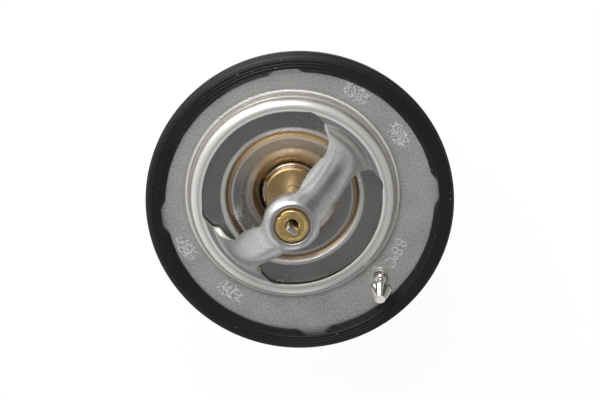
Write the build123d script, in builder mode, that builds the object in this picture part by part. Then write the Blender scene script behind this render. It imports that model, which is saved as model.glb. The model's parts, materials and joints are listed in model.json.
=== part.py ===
from build123d import *
import os
from math import cos, hypot, pi, radians, sin, sqrt

os.makedirs("parts", exist_ok=True)

# Wax-pellet engine thermostat. Millimetres, +Z towards the outlet bridge.
# The origin is the centre of the flange rim, on the flange plate's top face.

# ---- sheet stock and general clearances
flange_sheet = 1.0
bridge_sheet = 1.0
frame_sheet = 1.2
valve_sheet = 1.0
seat_gap = 0.05
loose_gap = 0.3
slide_gap = 0.05

# ---- gasket and flange plate: widths of the gasket's bands, each measured in from the last
rim_radius = 30.0
rib_band = 1.3
crown_band = 1.5
bevel_band = 1.1
rubber_wall = 2.0
lip_height = 0.4
crown_height = 1.7
collar_gap = 0.2
collar_width = 0.7
collar_height = 0.5
rim_land = 1.2
rib_drop = 0.5
rib_height = 0.7
rib_bulge = 1.3
notch_count = 4
notch_turn = 6.1
notch_depth = 0.83
notch_width = 6.0
notch_corner = 0.5
notch_flank = 45.0

# ---- valve axis, set off from the flange centre
valve_shift = 2.38
shift_angle = 127.2
arm_angle = 44.3

# ---- bridge: its base sits inside the gasket's lip, and each ring inside the last
base_room = 2.47
base_width = 1.2
shoulder_width = 2.38
shoulder_height = 3.8
shoulder_round = 2.05
window_margin = 2.67
window_corner = 2.2
window_flare = 3.4
window_waist = 3.45
window_blend = 3.5
root_margin = 1.22
boss_radius = 5.3
boss_height = 20.4
boss_depth = 3.9
boss_bulge = 0.55
well_radius = 3.45
well_depth = 1.1
well_lip_round = 0.45
bush_shank_radius = 2.3

# one arm, station by station up its crown line: reach as a share of the root's, height as a
# share of the boss's, lean of the section from level, half width, drop of its edge below its crest
arm_stations = (
    (1.0000, 0.1422, 0.0, 9.2, 2.80),
    (0.9666, 0.3431, 16.0, 5.6, 2.60),
    (0.8511, 0.5245, 31.0, 4.2, 2.60),
    (0.6930, 0.6912, 42.0, 3.9, 2.45),
    (0.4985, 0.8333, 51.0, 4.0, 2.45),
    (0.2796, 0.9559, 61.0, 4.8, 2.80),
)

# ---- piston and its bush
bush_radius = 3.1
bush_stand = 0.15
bush_hole_radius = 1.11
bush_round = 0.3
bush_countersink = 0.25
bush_length = 5.2
piston_radius = 1.9
piston_chamfer = 0.3
piston_end_z = -18.0
tang_radius = 1.06
tang_thickness = 0.9
tang_stand = 2.9
tang_turn = -35.0
tang_chamfer = 0.15

# ---- main valve plate
seal_room = 0.25
seal_stand = 0.8
plate_band = 4.7
inner_band = 5.1
bead_slope = 1.4
bead_drop = 0.75
bead_inner_round = 0.3
bead_outer_round = 1.0
funnel_width = 2.55
funnel_depth = 4.1
funnel_slope = 50.0
funnel_round = 3.0
neck_room = 0.55
seal_lip_cover = 0.08
seal_lip_width = 0.25
seal_wall = 0.5
seal_wrap = 0.7

# ---- wax element
guide_inset = 3.45
guide_stand = 2.9
guide_flange_step = 0.45
guide_flange_height = 2.0
guide_chamfer = 0.3
guide_spigot_height = 1.4
ring_wire_radius = 0.5
ring_turn = 150.0
ring_opening = 14.0
cup_radius = 8.85
cup_wall = 0.9
cup_bottom_z = -29.5
crimp_height = 3.7
crimp_lip = 0.7
sleeve_radius = 3.3
sleeve_floor = 2.4
sleeve_flange_height = 1.2
backup_height = 0.8

# ---- lower frame
frame_plate_z = -24.0
frame_plate_margin = 2.6
collar_length = 2.2
leg_margin = 1.15
foot_width = 16.0
leg_width = 12.5
leg_bend = 1.5
foot_corner = 2.0
spring_rest_height = 0.8

# ---- springs
main_wire_radius = 0.9
main_turns = 4.5
bypass_wire_radius = 0.4
bypass_coil_radius = 4.6
bypass_turns = 2.0
dead_turns = 0.75
spring_points_per_turn = 10

# ---- bypass valve
stem_radius = 1.75
stem_tip = 1.0
stem_groove_depth = 0.4
clip_height = 0.6
clip_radius = 3.3
clip_mouth = 2.4
bypass_hub_radius = 6.2
bypass_rim_radius = 12.5
bypass_sheet = 1.0
bypass_slope_width = 2.4
bypass_drop = 6.5
bypass_bowl = 3.8

# ---- vent hole and jiggle pin
vent_margin = 4.24
vent_turn = -43.33
vent_radius = 1.4
pin_lean = 25.0
pin_lean_turn = 261.0
pin_ball_radius = 1.55
pin_ball_gap = 0.03
pin_shank_radius = 0.45
pin_neck_radius = 0.65
pin_neck_length = 2.1
pin_head_radius = 2.3
pin_head_rise = 4.15
pin_shoulder_bulge = 0.35
pin_tip_radius = 1.55
pin_length = 6.15
pin_foot_radius = 1.8
pin_foot_height = 0.9
pin_play = 1.0

# ---- rings of the gasket, flange and bridge, from the rim inwards
flange_radius = rim_radius - rubber_wall
crown_outer_radius = rim_radius - rib_band
crown_inner_radius = crown_outer_radius - crown_band
lip_radius = crown_inner_radius - bevel_band
base_outer = lip_radius - valve_shift - base_room
bridge_wall_radius = base_outer - base_width
wall_inner = bridge_wall_radius - bridge_sheet
port_radius = bridge_wall_radius - shoulder_width
window_reach = port_radius - window_margin
arm_root_radius = port_radius - root_margin
vent_reach = lip_radius - vent_margin
vent_x = vent_reach * cos(radians(vent_turn))
vent_y = vent_reach * sin(radians(vent_turn))

# ---- rings and levels of the valve, from its seat under the bridge's shoulder
seat_z = shoulder_height - bridge_sheet
valve_plate_z = seat_z - seal_stand
neck_z = valve_plate_z - funnel_depth
guide_top_z = neck_z + guide_stand
valve_rim_radius = wall_inner - seal_wall - seal_room
seal_lip_radius = port_radius + seal_lip_cover
guide_radius = cup_radius - guide_inset
neck_radius = guide_radius + neck_room
funnel_start_radius = neck_radius + funnel_width
bead_share = inner_band / (inner_band + plate_band)
bead_radius = funnel_start_radius + bead_share * (valve_rim_radius - funnel_start_radius)
guide_flange_radius = cup_radius + guide_flange_step
crimp_radius = guide_flange_radius + cup_wall
bypass_hub_z = cup_bottom_z - bypass_drop
bypass_rim_z = bypass_hub_z - bypass_bowl

# ---- other derived places
main_coil_radius = bead_radius + valve_sheet / 2 + main_wire_radius + 2 * slide_gap
spring_rest_radius = main_coil_radius - main_wire_radius - loose_gap
frame_plate_radius = main_coil_radius + main_wire_radius + frame_plate_margin
leg_foot_reach = frame_plate_radius - frame_sheet / 2
leg_top_reach = base_outer + leg_margin
valve_x = valve_shift * cos(radians(shift_angle))
valve_y = valve_shift * sin(radians(shift_angle))
arm_x = cos(radians(arm_angle))
arm_y = sin(radians(arm_angle))
plate_bottom = -flange_sheet
mid_z = plate_bottom / 2
flange_u = -valve_x * arm_x - valve_y * arm_y
flange_v = valve_x * arm_y - valve_y * arm_x
deck = Plane(origin=(valve_x, valve_y, 0), x_dir=(arm_x, arm_y, 0), z_dir=(0, 0, 1))
side = Plane(origin=(valve_x, valve_y, 0), x_dir=(arm_x, arm_y, 0), z_dir=(arm_y, -arm_x, 0))
valve_axis = Axis((valve_x, valve_y, 0), (0, 0, 1))


def finish(solid, name):
    """Label one finished piece and write it to its own file."""
    solid.label = name
    export_step(solid, f"parts/{name}.step")


# ---- flange plate: flat disc, raised collar round the bridge, vent hole
collar_inner = bridge_wall_radius + collar_gap
collar_outer = collar_inner + collar_width

with BuildPart() as flange_plate:
    with BuildSketch(Plane.XY.offset(plate_bottom)):
        Circle(flange_radius)
    extrude(amount=flange_sheet)
    with BuildSketch(deck):
        Circle(collar_outer)
    extrude(amount=collar_height)
    with BuildSketch(deck.offset(plate_bottom)):
        Circle(collar_inner)
    extrude(amount=flange_sheet + collar_height, mode=Mode.SUBTRACT)
    collar_edges = flange_plate.edges().group_by(Axis.Z)[-1]
    fillet(collar_edges, radius=collar_height / 2)
    with BuildSketch(Plane.XY.offset(plate_bottom)):
        with Locations((vent_x, vent_y)):
            Circle(vent_radius)
    extrude(amount=flange_sheet, mode=Mode.SUBTRACT)
finish(flange_plate.part, "flange_plate")


# ---- bridge: drawn ring with shoulder, two crowned arms, boss with a well
def arm_plane(way, reach, height, lean):
    """Plane square to the crown line of the arm on one side of the valve axis."""
    tilt = radians(lean)
    crest = (valve_x + way * reach * arm_x, valve_y + way * reach * arm_y, height)
    along = (-way * sin(tilt) * arm_x, -way * sin(tilt) * arm_y, cos(tilt))
    return Plane(origin=crest, x_dir=(way * arm_y, -way * arm_x, 0), z_dir=along)


shelf_inner = arm_root_radius - bridge_sheet
base_bottom = plate_bottom - bridge_sheet
boss_bottom = boss_height - boss_depth
well_floor = boss_height - well_depth
dome_start = well_radius + well_lip_round

with BuildPart() as bridge:
    with BuildSketch(side):
        with BuildLine():
            Polyline(
                (shelf_inner, seat_z),
                (wall_inner, seat_z),
                (wall_inner, base_bottom),
                (base_outer, base_bottom),
                (base_outer, plate_bottom),
                (bridge_wall_radius, plate_bottom),
                (bridge_wall_radius, shoulder_height),
                (shelf_inner, shoulder_height),
                close=True,
            )
        make_face()
    revolve(axis=valve_axis)
    outer_rim = bridge.edges().filter_by(GeomType.CIRCLE).group_by(Axis.Z)[-1].sort_by(SortBy.RADIUS)[-1]
    fillet(outer_rim, radius=shoulder_round)
    under_rim = [
        e
        for e in bridge.edges().filter_by(GeomType.CIRCLE)
        if abs(e.radius - wall_inner) < slide_gap and abs(e.center().Z - seat_z) < slide_gap
    ]
    fillet(under_rim, radius=shoulder_round - bridge_sheet)
    for way in (1, -1):
        for reach_share, height_share, lean, half_width, drop in arm_stations:
            reach = reach_share * arm_root_radius
            height = height_share * boss_height
            crown = (half_width**2 + drop**2) / (2 * drop)
            inset = (crown - bridge_sheet) / crown
            under = (half_width * inset, (crown - drop) * inset - crown)
            with BuildSketch(arm_plane(way, reach, height, lean)):
                with BuildLine():
                    ThreePointArc((-half_width, -drop), (0, 0), (half_width, -drop))
                    ThreePointArc((-under[0], under[1]), (0, -bridge_sheet), under)
                    Line((half_width, -drop), under)
                    Line((-half_width, -drop), (-under[0], under[1]))
                make_face()
        loft()
    with BuildSketch(side):
        with BuildLine():
            Line((0, boss_bottom), (boss_radius, boss_bottom))
            ThreePointArc(
                (boss_radius, boss_bottom),
                ((boss_radius + dome_start) / 2 + boss_bulge, (boss_bottom + boss_height) / 2 + boss_bulge),
                (dome_start, boss_height),
            )
            Polyline((dome_start, boss_height), (0, boss_height), (0, boss_bottom))
        make_face()
    revolve(axis=valve_axis)
    with BuildSketch(deck.offset(boss_bottom)):
        Circle(boss_radius - bridge_sheet)
    extrude(amount=boss_depth - well_depth - bridge_sheet, mode=Mode.SUBTRACT)
    with BuildSketch(deck.offset(base_bottom)):
        Circle(port_radius)
        Rectangle(2 * window_reach, 2 * port_radius, mode=Mode.INTERSECT)
        Rectangle(2 * port_radius, 2 * window_waist, mode=Mode.SUBTRACT)
        Circle(boss_radius, mode=Mode.SUBTRACT)
        at_boss = [v for v in vertices() if hypot(v.X, v.Y) < boss_radius + slide_gap]
        fillet(at_boss, radius=window_blend)
        at_ring = [v for v in vertices() if hypot(v.X, v.Y) > port_radius - slide_gap]
        fillet(at_ring, radius=window_corner)
        at_flare = [v for v in vertices() if abs(v.X) > window_reach - slide_gap and abs(v.Y) < boss_radius]
        fillet(at_flare, radius=window_flare)
    extrude(amount=boss_height - base_bottom, mode=Mode.SUBTRACT)
    with BuildSketch(deck.offset(well_floor)):
        Circle(well_radius)
    extrude(amount=well_depth, mode=Mode.SUBTRACT)
    well_rim = [
        e
        for e in bridge.edges().filter_by(GeomType.CIRCLE)
        if abs(e.radius - well_radius) < slide_gap and abs(e.center().Z - boss_height) < slide_gap
    ]
    fillet(well_rim, radius=well_lip_round - slide_gap)
    with BuildSketch(deck.offset(boss_bottom)):
        Circle(bush_shank_radius)
    extrude(amount=boss_depth, mode=Mode.SUBTRACT)
finish(bridge.part, "bridge")


# ---- gasket: moulded ring that grips the flange rim, ribbed outside, notched lips
crown_bottom = 2 * mid_z - crown_height
lip_bottom = 2 * mid_z - lip_height
land_half = rim_land / 2
rib_radius = rim_radius - rib_drop

with BuildPart() as flange_gasket:
    with BuildSketch(Plane.XZ):
        with BuildLine():
            Polyline(
                (flange_radius, plate_bottom),
                (lip_radius, plate_bottom),
                (lip_radius, lip_bottom),
                (crown_inner_radius, crown_bottom),
                (crown_outer_radius, crown_bottom),
                (rib_radius - rib_drop / 2, mid_z - land_half - 2 * rib_height),
            )
            ThreePointArc(
                (rib_radius - rib_drop / 2, mid_z - land_half - 2 * rib_height),
                (rib_radius + rib_drop / 2, mid_z - land_half - rib_bulge * rib_height),
                (rib_radius, mid_z - land_half - rib_height / 2),
            )
            Polyline(
                (rib_radius, mid_z - land_half - rib_height / 2),
                (rim_radius, mid_z - land_half),
                (rim_radius, mid_z + land_half),
                (rib_radius, mid_z + land_half + rib_height / 2),
            )
            ThreePointArc(
                (rib_radius, mid_z + land_half + rib_height / 2),
                (rib_radius + rib_drop / 2, mid_z + land_half + rib_bulge * rib_height),
                (rib_radius - rib_drop / 2, mid_z + land_half + 2 * rib_height),
            )
            Polyline(
                (rib_radius - rib_drop / 2, mid_z + land_half + 2 * rib_height),
                (crown_outer_radius, crown_height),
                (crown_inner_radius, crown_height),
                (lip_radius, lip_height),
                (lip_radius, 0),
                (flange_radius, 0),
                (flange_radius, plate_bottom),
            )
        make_face()
    revolve(axis=Axis.Z)
    with BuildSketch(Plane.XY.offset(crown_bottom)):
        with PolarLocations(lip_radius, notch_count, start_angle=notch_turn):
            Trapezoid(notch_width, 2 * notch_depth, notch_flank, rotation=-90)
        fillet(vertices(), radius=notch_corner)
    extrude(amount=crown_height - crown_bottom, mode=Mode.SUBTRACT)
finish(flange_gasket.part, "flange_gasket")


# ---- lower frame: two welded feet, two legs, bottom plate with a drawn guide collar
foot_mid = plate_bottom - frame_sheet / 2
foot_reach = lip_radius + valve_shift
frame_plate_mid = frame_plate_z - frame_sheet / 2
guide_hole_radius = cup_radius + loose_gap
rest_top = frame_plate_z + spring_rest_height
collar_bottom = frame_plate_z - collar_length
notch_z = plate_bottom - 2 * frame_sheet
leg_cut_height = notch_z - frame_plate_z + 2 * frame_sheet
across = Plane(origin=(valve_x, valve_y, 0), x_dir=(-arm_y, arm_x, 0), z_dir=(arm_x, arm_y, 0))

with BuildPart() as lower_frame:
    with BuildSketch(side):
        for way in (1, -1):
            with BuildLine():
                FilletPolyline(
                    (way * foot_reach, foot_mid),
                    (way * leg_top_reach, foot_mid),
                    (way * leg_foot_reach, frame_plate_mid),
                    (way * spring_rest_radius, frame_plate_mid),
                    radius=leg_bend,
                )
            trace(line_width=frame_sheet)
    extrude(amount=foot_width / 2, both=True)
    with BuildSketch(across):
        for hand in (1, -1):
            with Locations((hand * (leg_width + foot_width) / 2, notch_z)):
                RectangleRounded(foot_width, leg_cut_height, foot_corner, align=(Align.CENTER, Align.MAX))
    extrude(amount=foot_reach, both=True, mode=Mode.SUBTRACT)
    with BuildSketch(deck.offset(frame_plate_z - frame_sheet)):
        Rectangle(2 * foot_reach, foot_width)
        with Locations((flange_u, flange_v)):
            Circle(lip_radius - loose_gap, mode=Mode.INTERSECT)
        fillet(vertices(), radius=foot_corner)
    extrude(amount=frame_sheet - frame_plate_z, mode=Mode.INTERSECT)
    with BuildSketch(side):
        with BuildLine():
            Polyline(
                (guide_hole_radius, rest_top),
                (spring_rest_radius, rest_top),
                (spring_rest_radius, frame_plate_z),
                (frame_plate_radius, frame_plate_z),
                (frame_plate_radius, frame_plate_z - frame_sheet),
                (spring_rest_radius - frame_sheet, frame_plate_z - frame_sheet),
                (spring_rest_radius - frame_sheet, rest_top - frame_sheet),
                (guide_hole_radius + frame_sheet, rest_top - frame_sheet),
                (guide_hole_radius + frame_sheet, collar_bottom),
                (guide_hole_radius, collar_bottom),
                close=True,
            )
        make_face()
    revolve(axis=valve_axis)
finish(lower_frame.part, "lower_frame")

# ---- brass bush staked in the boss, and the fixed piston with its flat tang
bush_top = boss_height + bush_stand
bush_bottom = bush_top - bush_length
tang_top = bush_top + tang_stand

with BuildPart() as piston_bush:
    with BuildSketch(side):
        with BuildLine():
            Polyline(
                (bush_hole_radius, bush_bottom),
                (bush_shank_radius - slide_gap, bush_bottom),
                (bush_shank_radius - slide_gap, well_floor),
                (bush_radius, well_floor),
                (bush_radius, bush_top - bush_round),
                (bush_radius - bush_round, bush_top),
                (bush_hole_radius + bush_countersink, bush_top),
                (bush_hole_radius, bush_top - bush_countersink),
                close=True,
            )
        make_face()
    revolve(axis=valve_axis)
finish(piston_bush.part, "piston_bush")

with BuildPart() as piston:
    with BuildSketch(deck.offset(piston_end_z)):
        Circle(piston_radius)
    extrude(amount=bush_bottom - piston_end_z)
    chamfer(piston.edges().group_by(Axis.Z)[0], length=piston_chamfer)
    with BuildSketch(deck.offset(bush_bottom)):
        Circle(tang_radius)
        Rectangle(2 * tang_radius, tang_thickness, rotation=tang_turn - arm_angle, mode=Mode.INTERSECT)
    extrude(amount=tang_top - bush_bottom)
    chamfer(piston.edges().group_by(Axis.Z)[-1], length=tang_chamfer)
finish(piston.part, "piston")

# ---- main valve plate: funnel neck, flat inner plate, stepped shoulder, flat rim
plate_mid = valve_plate_z - valve_sheet / 2
inner_mid = plate_mid - bead_drop
neck_lean = radians(funnel_slope)
neck_mid_radius = neck_radius + valve_sheet / 2 * sin(neck_lean)
neck_mid_z = neck_z - valve_sheet / 2 * cos(neck_lean)

with BuildPart() as valve_disc:
    with BuildSketch(side):
        with BuildLine():
            FilletPolyline(
                (neck_mid_radius, neck_mid_z),
                (funnel_start_radius, inner_mid),
                (bead_radius - bead_slope, inner_mid),
                (bead_radius, plate_mid),
                (valve_rim_radius, plate_mid),
                radius=(funnel_round, bead_inner_round, bead_outer_round),
            )
        trace(line_width=valve_sheet)
    revolve(axis=valve_axis)
finish(valve_disc.part, "valve_disc")

# ---- rubber lip that seals the valve plate against the underside of the shoulder
lip_top = seat_z - seat_gap
plate_under = valve_plate_z - valve_sheet
seal_outer = valve_rim_radius + seal_wall

with BuildPart() as valve_seal:
    with BuildSketch(side):
        with BuildLine():
            Polyline(
                (seal_lip_radius - seal_lip_width, valve_plate_z),
                (seal_lip_radius, lip_top),
                (seal_lip_radius + seal_lip_width, lip_top),
                (seal_outer, valve_plate_z),
                (seal_outer, plate_under - seal_wall),
                (valve_rim_radius - seal_wrap, plate_under - seal_wall),
                (valve_rim_radius - seal_wrap, plate_under),
                (valve_rim_radius, plate_under),
                (valve_rim_radius, valve_plate_z),
                close=True,
            )
        make_face()
    revolve(axis=valve_axis)
finish(valve_seal.part, "valve_seal")

# ---- wax element: guide, retaining ring, cup, boot, backup ring, wax
bore_radius = piston_radius + slide_gap
guide_flange_top = neck_z - valve_sheet * cos(neck_lean) - seat_gap
guide_flange_bottom = guide_flange_top - guide_flange_height
guide_bottom = guide_flange_bottom - guide_spigot_height
cup_inner_radius = cup_radius - cup_wall
spigot_radius = cup_inner_radius - slide_gap
ring_radius = guide_radius + slide_gap
ring_z = neck_z + ring_wire_radius + seat_gap
groove_half = ring_wire_radius + slide_gap
groove_radius = ring_radius - ring_wire_radius - slide_gap
backup_radius = sleeve_radius
cup_lip_top = guide_flange_top + crimp_lip
crimp_bottom = guide_flange_top - crimp_height
cup_floor_z = cup_bottom_z + cup_wall

with BuildPart() as element_guide:
    with BuildSketch(side):
        with BuildLine():
            Polyline(
                (bore_radius, guide_top_z),
                (guide_radius - guide_chamfer, guide_top_z),
                (guide_radius, guide_top_z - guide_chamfer),
                (guide_radius, ring_z + groove_half),
                (groove_radius, ring_z + groove_half),
                (groove_radius, ring_z - groove_half),
                (guide_radius, ring_z - groove_half),
                (guide_radius, guide_flange_top),
                (guide_flange_radius, guide_flange_top),
                (guide_flange_radius, guide_flange_bottom),
                (spigot_radius, guide_flange_bottom),
                (spigot_radius, guide_bottom),
                (backup_radius, guide_bottom),
                (backup_radius, guide_bottom + backup_height),
                (bore_radius, guide_bottom + backup_height),
                close=True,
            )
        make_face()
    revolve(axis=valve_axis)
finish(element_guide.part, "element_guide")

ring_start = Plane(
    origin=(valve_x, valve_y, 0),
    x_dir=(cos(radians(ring_turn + ring_opening / 2)), sin(radians(ring_turn + ring_opening / 2)), 0),
    z_dir=(sin(radians(ring_turn + ring_opening / 2)), -cos(radians(ring_turn + ring_opening / 2)), 0),
)

with BuildPart() as retaining_ring:
    with BuildSketch(ring_start):
        with Locations((ring_radius, ring_z)):
            Circle(ring_wire_radius)
    revolve(axis=valve_axis, revolution_arc=360 - ring_opening)
finish(retaining_ring.part, "retaining_ring")

with BuildPart() as element_cup:
    with BuildSketch(side):
        with BuildLine():
            Polyline(
                (guide_flange_radius - 2 * crimp_lip, cup_lip_top),
                (crimp_radius, cup_lip_top),
                (crimp_radius, crimp_bottom),
                (cup_radius, crimp_bottom - crimp_lip),
                (cup_radius, cup_bottom_z),
                (0, cup_bottom_z),
                (0, cup_floor_z),
                (cup_inner_radius, cup_floor_z),
                (cup_inner_radius, guide_flange_bottom),
                (guide_flange_radius, guide_flange_bottom),
                (guide_flange_radius, guide_flange_top),
                (guide_flange_radius - 2 * crimp_lip, guide_flange_top),
                close=True,
            )
        make_face()
    revolve(axis=valve_axis)
    fillet(element_cup.edges().group_by(Axis.Z)[0], radius=2 * cup_wall)
    fillet(element_cup.edges().group_by(Axis.Z)[-1].sort_by(SortBy.RADIUS)[-1], radius=crimp_lip)
finish(element_cup.part, "element_cup")

with BuildPart() as backup_ring:
    with BuildSketch(deck.offset(guide_bottom)):
        Circle(backup_radius)
        Circle(bore_radius, mode=Mode.SUBTRACT)
    extrude(amount=backup_height)
finish(backup_ring.part, "backup_ring")

sleeve_flange_bottom = guide_bottom - sleeve_flange_height
sleeve_bore_end = piston_end_z - loose_gap
sleeve_end = sleeve_bore_end - sleeve_floor

with BuildPart() as rubber_sleeve:
    with BuildSketch(deck.offset(sleeve_flange_bottom)):
        Circle(spigot_radius)
    extrude(amount=sleeve_flange_height)
    with BuildSketch(deck.offset(sleeve_end)):
        Circle(sleeve_radius)
    extrude(amount=sleeve_flange_bottom - sleeve_end)
    fillet(rubber_sleeve.edges().group_by(Axis.Z)[0], radius=sleeve_radius / 2)
    with BuildSketch(deck.offset(sleeve_bore_end)):
        Circle(bore_radius)
    extrude(amount=guide_bottom - sleeve_bore_end, mode=Mode.SUBTRACT)
finish(rubber_sleeve.part, "rubber_sleeve")

with BuildPart() as wax_charge:
    with BuildSketch(deck.offset(cup_floor_z)):
        Circle(spigot_radius)
    extrude(amount=sleeve_flange_bottom - cup_floor_z)
    with BuildSketch(deck.offset(sleeve_end - slide_gap)):
        Circle(sleeve_radius + slide_gap)
    extrude(amount=sleeve_flange_bottom - sleeve_end + slide_gap, mode=Mode.SUBTRACT)
finish(wax_charge.part, "wax_charge")

# ---- bypass valve: stem, sliding disc and end clip
clip_top = bypass_hub_z - bypass_sheet - 2 * seat_gap
clip_bottom = clip_top - clip_height
groove_stem_radius = stem_radius - stem_groove_depth

with BuildPart() as bypass_stem:
    with BuildSketch(deck.offset(cup_bottom_z)):
        Circle(stem_radius)
    extrude(amount=clip_bottom - stem_tip - cup_bottom_z)
    chamfer(bypass_stem.edges().group_by(Axis.Z)[0], length=stem_groove_depth)
    with BuildSketch(deck.offset(clip_bottom - slide_gap)):
        Circle(stem_radius)
        Circle(groove_stem_radius, mode=Mode.SUBTRACT)
    extrude(amount=clip_height + 2 * slide_gap, mode=Mode.SUBTRACT)
finish(bypass_stem.part, "bypass_stem")

with BuildPart() as bypass_clip:
    with BuildSketch(deck.offset(clip_bottom)):
        Circle(clip_radius)
        Circle(groove_stem_radius + slide_gap, mode=Mode.SUBTRACT)
        with Locations((clip_radius / 2, 0)):
            Rectangle(clip_radius, clip_mouth, mode=Mode.SUBTRACT)
    extrude(amount=clip_height)
finish(bypass_clip.part, "bypass_clip")

hub_mid = bypass_hub_z - bypass_sheet / 2
rim_mid = bypass_rim_z + bypass_sheet / 2

with BuildPart() as bypass_disc:
    with BuildSketch(side):
        with BuildLine():
            FilletPolyline(
                (stem_radius + slide_gap, hub_mid),
                (bypass_hub_radius, hub_mid),
                (bypass_hub_radius + bypass_slope_width, rim_mid),
                (bypass_rim_radius, rim_mid),
                radius=bypass_sheet,
            )
        trace(line_width=bypass_sheet)
    revolve(axis=valve_axis)
finish(bypass_disc.part, "bypass_disc")


# ---- coil springs with closed ends
def spring_points(low_z, high_z, coil, wire, active):
    """Points of one coil spring's wire, from its lower closed end to its upper one."""
    closed = dead_turns * 2 * wire
    rise = high_z - low_z - 2 * wire - 2 * closed
    turns = active + 2 * dead_turns
    count = round(turns * spring_points_per_turn)
    points = []
    for step in range(count + 1):
        turn = turns * step / count
        low_part = min(turn, dead_turns) * 2 * wire
        mid_part = min(max(turn - dead_turns, 0), active) / active * rise
        high_part = max(turn - dead_turns - active, 0) * 2 * wire
        angle = 2 * pi * turn
        height = low_z + wire + low_part + mid_part + high_part
        points.append((valve_x + coil * cos(angle), valve_y + coil * sin(angle), height))
    return points


with BuildPart() as main_spring:
    with BuildLine() as main_line:
        main_wire = Spline(
            spring_points(frame_plate_z, plate_under, main_coil_radius, main_wire_radius, main_turns)
        )
    with BuildSketch(Plane(origin=main_wire @ 0, z_dir=main_wire % 0)):
        Circle(main_wire_radius)
    sweep(path=main_wire)
finish(main_spring.part, "main_spring")

with BuildPart() as bypass_spring:
    with BuildLine() as bypass_line:
        bypass_wire = Spline(
            spring_points(bypass_hub_z, cup_bottom_z, bypass_coil_radius, bypass_wire_radius, bypass_turns)
        )
    with BuildSketch(Plane(origin=bypass_wire @ 0, z_dir=bypass_wire % 0)):
        Circle(bypass_wire_radius)
    sweep(path=bypass_wire)
finish(bypass_spring.part, "bypass_spring")

# ---- jiggle pin: turned head and ball that leans in the vent hole, foot under the flange
ball_rise = sqrt((pin_ball_radius + pin_ball_gap) ** 2 - vent_radius**2)
lean = radians(pin_lean)
lean_turn = radians(pin_lean_turn)
pin_normal = Vector(-sin(lean_turn), cos(lean_turn), 0)
pin_way = Vector(sin(lean) * cos(lean_turn), sin(lean) * sin(lean_turn), cos(lean))
pin_plane = Plane(origin=(vent_x, vent_y, ball_rise), x_dir=pin_way.cross(pin_normal), z_dir=pin_normal)
pin_axis = Axis((vent_x, vent_y, ball_rise), pin_way)
foot_top_w = -(ball_rise + flange_sheet + pin_foot_radius * sin(lean)) / cos(lean) - pin_play - seat_gap
foot_bottom_w = foot_top_w - pin_foot_height
ball_low = -sqrt(pin_ball_radius**2 - pin_shank_radius**2)
ball_high = sqrt(pin_ball_radius**2 - pin_neck_radius**2)

with BuildPart() as jiggle_pin:
    with BuildSketch(pin_plane):
        with BuildLine():
            Polyline(
                (0, foot_bottom_w),
                (pin_foot_radius, foot_bottom_w),
                (pin_foot_radius, foot_top_w),
                (pin_shank_radius, foot_top_w),
                (pin_shank_radius, ball_low),
            )
            ThreePointArc((pin_shank_radius, ball_low), (pin_ball_radius, 0), (pin_neck_radius, ball_high))
            Line((pin_neck_radius, ball_high), (pin_neck_radius, pin_neck_length))
            ThreePointArc(
                (pin_neck_radius, pin_neck_length),
                (
                    (pin_neck_radius + pin_head_radius) / 2 + pin_shoulder_bulge,
                    (pin_neck_length + pin_head_rise) / 2 - pin_shoulder_bulge,
                ),
                (pin_head_radius, pin_head_rise),
            )
            Polyline(
                (pin_head_radius, pin_head_rise),
                (pin_tip_radius, pin_length),
                (0, pin_length),
                (0, foot_bottom_w),
            )
        make_face()
    revolve(axis=pin_axis)
finish(jiggle_pin.part, "jiggle_pin")
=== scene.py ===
"""Looks of a wax-pellet engine thermostat: drawn bridge, rubber rim ring, brass element and springs.

Every piece is a surface worked out with numpy and dressed in a procedural finish. Lengths in this
file are millimetres unless a name ends in _m; meshes are written in metres.
"""

import json
import logging
from dataclasses import dataclass, field
from enum import Enum
from math import atan2, cos, pi, radians, sin, sqrt

import bpy
import numpy as np
from mathutils import Matrix, Vector

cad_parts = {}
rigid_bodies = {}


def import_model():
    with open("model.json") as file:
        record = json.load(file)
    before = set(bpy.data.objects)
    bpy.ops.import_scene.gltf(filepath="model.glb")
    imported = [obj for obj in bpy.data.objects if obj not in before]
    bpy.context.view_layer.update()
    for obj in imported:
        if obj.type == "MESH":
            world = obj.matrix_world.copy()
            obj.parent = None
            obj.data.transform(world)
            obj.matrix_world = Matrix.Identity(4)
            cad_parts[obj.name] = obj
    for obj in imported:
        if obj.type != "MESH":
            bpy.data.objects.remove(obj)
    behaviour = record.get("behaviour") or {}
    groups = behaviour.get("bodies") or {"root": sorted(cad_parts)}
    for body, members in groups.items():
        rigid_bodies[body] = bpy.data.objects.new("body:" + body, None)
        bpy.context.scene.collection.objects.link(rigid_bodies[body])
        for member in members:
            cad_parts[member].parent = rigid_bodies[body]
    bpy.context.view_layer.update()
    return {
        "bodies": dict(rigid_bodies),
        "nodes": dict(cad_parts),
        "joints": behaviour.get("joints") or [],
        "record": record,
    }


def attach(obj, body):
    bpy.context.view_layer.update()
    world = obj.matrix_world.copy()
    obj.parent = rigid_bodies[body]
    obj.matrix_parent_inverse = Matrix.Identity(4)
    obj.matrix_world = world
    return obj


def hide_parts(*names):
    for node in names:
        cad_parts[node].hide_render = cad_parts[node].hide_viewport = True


LOG = logging.getLogger("thermostat_looks")
MM = 0.001
Colour = tuple[float, float, float]
Point = tuple[float, float]


class Body(Enum):
    """The moving bodies that a piece can ride on."""

    HOUSING = "housing"
    VALVE = "valve"
    BYPASS = "bypass"
    VENT_PIN = "vent_pin"


class Lay(Enum):
    """How the fine marks of a metal finish run."""

    ROLLED = "rolled"
    TURNED = "turned"


# ---------------------------------------------------------------- shared places


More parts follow.
